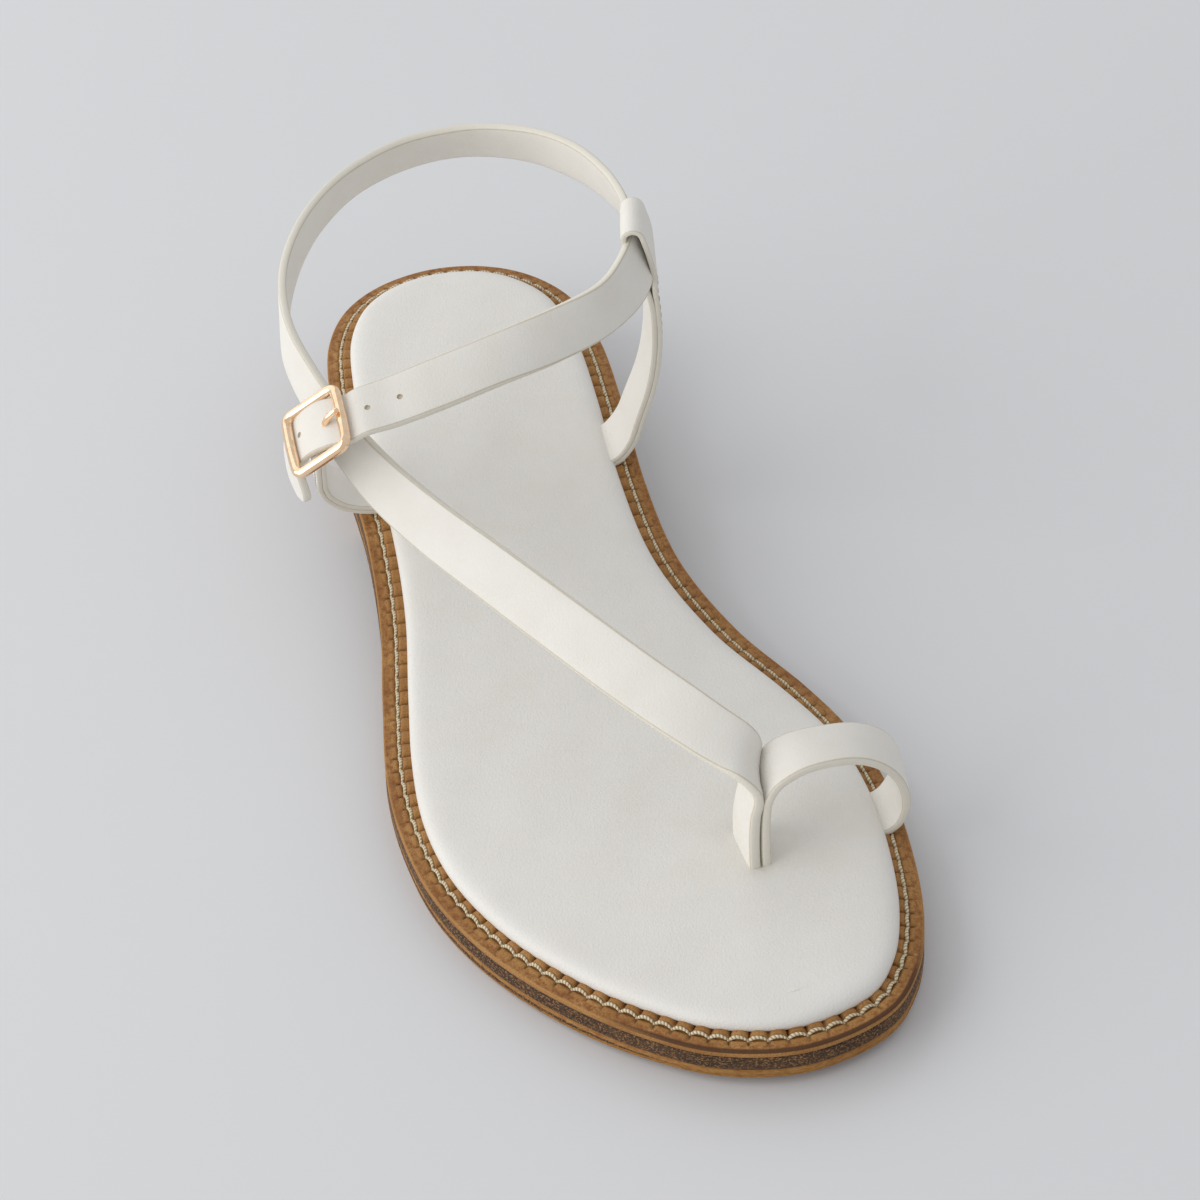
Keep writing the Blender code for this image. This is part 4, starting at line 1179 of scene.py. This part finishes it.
def strap_stitch(name):
    """One short stitch of thin thread lying in the leather."""
    length = SEAM_PITCH * SEAM_LENGTH
    route = [(length * (t - 0.5), 0.0, SEAM_ARCH * math.sin(math.pi * t)) for t, _ in SEAM_ROWS]
    radii = [SEAM_RADIUS * share for _, share in SEAM_ROWS]
    return closed_up(laid_grid(name, tube_rings(route, radii, SEAM_SIDES)), angle=80.0)


def seam_trough(start, end):
    """Relief of the good face: a soft trough along each seam."""

    def relief(reach, offset, lift):
        if not start - TROUGH_RUN < reach < end + TROUGH_RUN:
            return 0.0 * offset
        aways = [(offset - inset) / TROUGH_WIDTH for inset in seam_sides]
        return -sum(TROUGH_DEPTH * np.exp(-(away**2)) for away in aways) * (lift > 0.5)

    return relief


seam_thread = thread_finish("strap_thread", SEAM_THREAD, SEAM_SHADE)
seam_sides = (STRAP_WIDTH / 2 - SEAM_INSET, SEAM_INSET - STRAP_WIDTH / 2)
inner_rows = folded_rows(INNER_LOOP, 1.0)
inner_span = seam_span(inner_rows, INNER_SEAM_ENDS)
inner_loop = strap_piece("inner_loop_strap", inner_rows, STRAP_WIDTH, seam_trough(*inner_span))
inner_loop.data.materials.append(strap_leather)
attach(inner_loop, "root")

inner_places = seam_places(inner_rows, *inner_span)
top_place, _, top_across, top_out = row_at(inner_rows, inner_span[0] - BOX_TOP)
for inset in np.linspace(seam_sides[1] + BOX_INSET, seam_sides[0] - BOX_INSET, BOX_STITCHES):
    point = seam_point(top_place, top_across, top_out, inset)
    inner_places.append(standing_at(point, top_across, top_out))
inner_seam = placed_copies(strap_stitch("inner_loop_stitch"), "inner_loop_seam", inner_places)
inner_seam.data.materials.append(seam_thread)
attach(inner_seam, "root")


# Outer loop: a white strap folded double that leans forward from the insole's edge,
# holds the long strap in its tunnel and is turned round the buckle's centre bar.
OUTER_LOOP = [  # place, direction across the strap, half the gap between the layers
    (-30.0, 47.0, 19.2, 0.0, 1.0, 0.13, LOOP_TOUCH),
    (-35.0, 47.0, 20.0, 0.0, 1.0, 0.13, LOOP_TOUCH),
    (-40.2, 46.6, 22.5, 0.0, 1.0, 0.13, LOOP_TOUCH),
    (-43.6, 45.4, 27.2, 0.0, 1.0, 0.20, LOOP_TOUCH),
    (-44.8, 43.0, 32.6, 0.0, 0.96, 0.30, LOOP_TOUCH),
    (-45.3, 37.6, 39.9, -0.02, 0.84, 0.52, LOOP_TOUCH),
    (-45.8, 31.9, 47.8, -0.06, 0.76, 0.64, LOOP_TOUCH),
    (-46.2, 25.2, 54.8, -0.08, 0.75, 0.66, LOOP_TOUCH),
    (-46.5, 19.0, 60.4, -0.04, 0.82, 0.57, LOOP_TOUCH),
    (-46.3, 15.2, 63.0, 0.02, 0.93, 0.36, 0.9),
    (-45.4, 13.6, 64.0, 0.03, 0.97, 0.25, 1.2),
]
OUTER_SEAM_ENDS = (20.0, 12.0)

outer_rows = folded_rows(OUTER_LOOP, -1.0)
outer_span = seam_span(outer_rows, OUTER_SEAM_ENDS)
outer_loop = strap_piece("outer_loop_strap", outer_rows, STRAP_WIDTH, seam_trough(*outer_span))
outer_loop.data.materials.append(strap_leather)
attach(outer_loop, "root")

outer_places = seam_places(outer_rows, *outer_span)
outer_seam = placed_copies(strap_stitch("outer_loop_stitch"), "outer_loop_seam", outer_places)
outer_seam.data.materials.append(seam_thread)
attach(outer_seam, "root")


# Buckle frame: a rounded square of polished rose gold wire with a centre bar that the
# outer loop is folded round.
BUCKLE_LENGTH = 15.0
BUCKLE_WIDTH = 17.0
BUCKLE_CORNER = 1.6
BUCKLE_BOW = 0.35
BUCKLE_WIRE = 2.2
WIRE_THICKNESS = 2.2
WIRE_SQUARE = 0.95
BAR_WIRE = 1.3
BAR_DROP = 2.3
BAR_BENDS = [(0.0, 0.1), (1.0, 0.5), (2.2, BAR_DROP)]  # distance in from the wire, drop
BAR_SIDES = 14
WIRE_SIDES = 20
CORNER_POINTS = 13
FRAME_POINTS = 160
ROSE_GOLD = (255, 228, 196)
ROSE_DEEP = (248, 210, 170)
HAIR_STRETCH = (1.0, 0.15, 1.0)


def buckle_lap():
    """The middle of the frame's wire once round, in the buckle's own plane."""
    half_x, half_y = (BUCKLE_LENGTH - BUCKLE_WIRE) / 2, (BUCKLE_WIDTH - BUCKLE_WIRE) / 2
    points = []
    for corner, (sign_x, sign_y) in enumerate(((1, 1), (-1, 1), (-1, -1), (1, -1))):
        for turn in np.linspace(0.0, 0.5 * math.pi, CORNER_POINTS) + 0.5 * math.pi * corner:
            points.append((
                sign_x * (half_x - BUCKLE_CORNER) + BUCKLE_CORNER * math.cos(turn),
                sign_y * (half_y - BUCKLE_CORNER) + BUCKLE_CORNER * math.sin(turn),
            ))
    points.append(points[0])
    lap = evenly(np.array(points), FRAME_POINTS + 1)[:-1]
    share_x, share_y = lap[:, 0] / half_x, lap[:, 1] / half_y
    lap[:, 0] += BUCKLE_BOW * np.sign(lap[:, 0]) * share_x**2 * (1 - share_y**2)
    return lap


def squared(wave):
    return math.copysign(abs(wave) ** WIRE_SQUARE, wave)


def rose_gold(name):
    """Polished plating with faint hairlines."""
    material, tree, shader, place = finish_of(name)
    haze = speckled(tree, place, size=1.5)
    hair = speckled(tree, stretched(tree, place, HAIR_STRETCH), size=0.12, detail=2.0)
    base = blend(tree, ranged(tree, haze, 0.35, 0.7), ROSE_GOLD, ROSE_DEEP)
    dressed(tree, shader, base, ranged(tree, haze, 0.3, 0.7, 0.07, 0.14), hair, depth=0.002)
    shader.inputs["Metallic"].default_value = 1.0
    return material


wire_lap = buckle_lap()
wire_turns = np.linspace(0.0, 2 * math.pi, WIRE_SIDES, endpoint=False)
wire_points = []
for (x, y), (ahead_x, ahead_y) in zip(wire_lap, lap_along(wire_lap)):
    for turn in wire_turns:
        out_by = BUCKLE_WIRE / 2 * squared(math.cos(turn))
        lift = WIRE_THICKNESS / 2 * squared(math.sin(turn))
        wire_points.append(at_buckle(x + ahead_y * out_by, y - ahead_x * out_by, lift))

bpy.ops.object.select_all(action="DESELECT")
bpy.ops.mesh.primitive_torus_add(
    major_segments=FRAME_POINTS,
    minor_segments=WIRE_SIDES,
    major_radius=BUCKLE_WIDTH / 2 * MM,
    minor_radius=BUCKLE_WIRE / 2 * MM,
)
buckle_frame = bpy.context.active_object
buckle_frame.data.vertices.foreach_set("co", ((np.array(wire_points) + shift) * MM).reshape(-1))
closed_up(buckle_frame, angle=80.0)
bar_half = (BUCKLE_WIDTH - BUCKLE_WIRE) / 2
bar_start = [(-bar_half + away, -drop) for away, drop in BAR_BENDS]
bar_end = [(bar_half - away, -drop) for away, drop in BAR_BENDS[::-1]]
bar_bends = [*bar_start, (0.0, -BAR_DROP), *bar_end]
bar_route = [at_buckle(0.0, at, lift) for at, lift in bar_bends]
bar_rings = tube_rings(bar_route, [BAR_WIRE / 2] * len(bar_route), BAR_SIDES)
bar = closed_up(laid_grid("buckle_bar", bar_rings), angle=80.0)
bpy.ops.object.select_all(action="DESELECT")
bar.select_set(True)
buckle_frame.select_set(True)
bpy.context.view_layer.objects.active = buckle_frame
bpy.ops.object.join()
buckle_frame.name = buckle_frame.data.name = "buckle_wire"
buckle_frame.data.materials.clear()
buckle_frame.data.materials.append(rose_gold("buckle_rose_gold"))
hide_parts("buckle_frame")
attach(buckle_frame, "root")


# Buckle prong: a tapered pin of the same metal, hooked on the centre bar, that comes
# up through a hole of the long strap and lies on the frame.
PRONG_ROUTE = [  # distance along the buckle, lift, radius
    (-0.8, -1.9, 0.6), (-1.7, -1.2, 0.66), (-2.3, -0.3, 0.7), (-2.9, 0.5, 0.72), (-3.8, 1.1, 0.74),
    (-5.2, 1.62, 0.74), (-6.5, 1.8, 0.7), (-7.1, 1.7, 0.6), (-7.4, 1.6, 0.3),
]
PRONG_STEPS = 6
PRONG_SIDES = 16

prong_rows = [(*at_buckle(along, 0.0, lift), radius) for along, lift, radius in PRONG_ROUTE]
prong_line = curve_through(prong_rows, PRONG_STEPS)
prong_rings = tube_rings(prong_line[:, :3], prong_line[:, 3], PRONG_SIDES)
prong = closed_up(laid_grid("buckle_pin", prong_rings), angle=80.0)
prong.data.materials.append(rose_gold("prong_rose_gold"))
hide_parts("buckle_prong")
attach(prong, "root")


# Floor: the plain pale paper sheet that the shoe stands on. It is matte and almost
# even, with only faint clouds in its tone.
FLOOR_TONE = (217, 218, 220)
FLOOR_SHADE = (211, 212, 214)
FLOOR_HALF = 3.0
FLOOR_CLOUD = 180.0

bpy.ops.object.select_all(action="DESELECT")
bpy.ops.mesh.primitive_plane_add(size=2 * FLOOR_HALF, location=(0, 0, 0))
floor = bpy.context.active_object
floor.name = floor.data.name = "studio_floor"
floor_paint, tree, shader, place = finish_of("floor_paper")
cloud = speckled(tree, place, size=FLOOR_CLOUD, detail=2.0)
paper = blend(tree, ranged(tree, cloud, 0.3, 0.7, 0.0, 0.12), FLOOR_TONE, FLOOR_SHADE)
joined(tree, shader.inputs["Base Color"], paper)
joined(tree, shader.inputs["Roughness"], ranged(tree, cloud, 0.3, 0.7, 0.75, 0.85))
floor.data.materials.append(floor_paint)


# Light and camera: a large soft window on the left, a weaker one behind and an even pale
# surround. The camera keeps the photograph's viewing angle and is aimed at the shoe.
VIEW_AHEAD = (0.212, 0.737)
VIEW_DOWN = 39.945
VIEW_ROLL = 1.812
VIEW_PLACE = (-95.0, -516.4, 477.95)
PHOTO_LENS = 90.0
SENSOR = 36.0
PHOTO_SIZE = 1200.0
SHOE_MIDDLE = (407.0, 681.0)
VIEW_ZOOM = 1.1
CLIP = (0.01, 20.0)
SOFT_LIGHTS = [  # name, place in metres, size, watts, tint
    ("window", (-1.4, -0.1, 0.55), 1.8, 16.0, (1.0, 0.99, 0.97)),
    ("back_window", (-0.5, 1.4, 0.9), 2.2, 6.6, (1.0, 1.0, 1.0)),
]
SURROUND_TINT = (0.98, 0.985, 1.0, 1.0)
SURROUND_STRENGTH = 0.64

upright = Vector((0, 0, 1))
ahead = Vector((*VIEW_AHEAD, 0.0)).normalized()
rightward = ahead.cross(upright)
down = math.radians(VIEW_DOWN)
sight = ahead * math.cos(down) - upright * math.sin(down)
level = rightward.cross(sight)
roll = math.radians(VIEW_ROLL)
image_right = rightward * math.cos(roll) - level * math.sin(roll)
image_up = rightward * math.sin(roll) + level * math.cos(roll)
photo_turn = Matrix((image_right, image_up, -sight)).transposed()
focal = PHOTO_LENS / SENSOR * PHOTO_SIZE
half_photo = PHOTO_SIZE / 2
aim = photo_turn @ Vector((SHOE_MIDDLE[0] - half_photo, half_photo - SHOE_MIDDLE[1], -focal))
view_turn = sight.rotation_difference(aim.normalized()).to_matrix() @ photo_turn

camera_data = bpy.data.cameras.new("photo_camera")
camera_data.lens = PHOTO_LENS * VIEW_ZOOM
camera_data.sensor_width = SENSOR
camera_data.clip_start, camera_data.clip_end = CLIP
camera = bpy.data.objects.new("photo_camera", camera_data)
camera.matrix_world = Matrix.Translation((np.array(VIEW_PLACE) + shift) * MM) @ view_turn.to_4x4()
bpy.context.collection.objects.link(camera)
scene = bpy.context.scene
scene.camera = camera
scene.view_settings.view_transform = "Standard"

for name, place, size, watts, tint in SOFT_LIGHTS:
    light = bpy.data.lights.new(name, "AREA")
    light.shape, light.size, light.energy, light.color = "DISK", size, watts, tint
    lamp = bpy.data.objects.new(name, light)
    lamp.location = place
    lamp.rotation_euler = (-Vector(place)).to_track_quat("-Z", "Y").to_euler()
    bpy.context.collection.objects.link(lamp)
world = bpy.data.worlds.new("studio")
world.use_nodes = True
surround = world.node_tree.nodes["Background"].inputs
surround["Color"].default_value = SURROUND_TINT
surround["Strength"].default_value = SURROUND_STRENGTH
scene.world = world
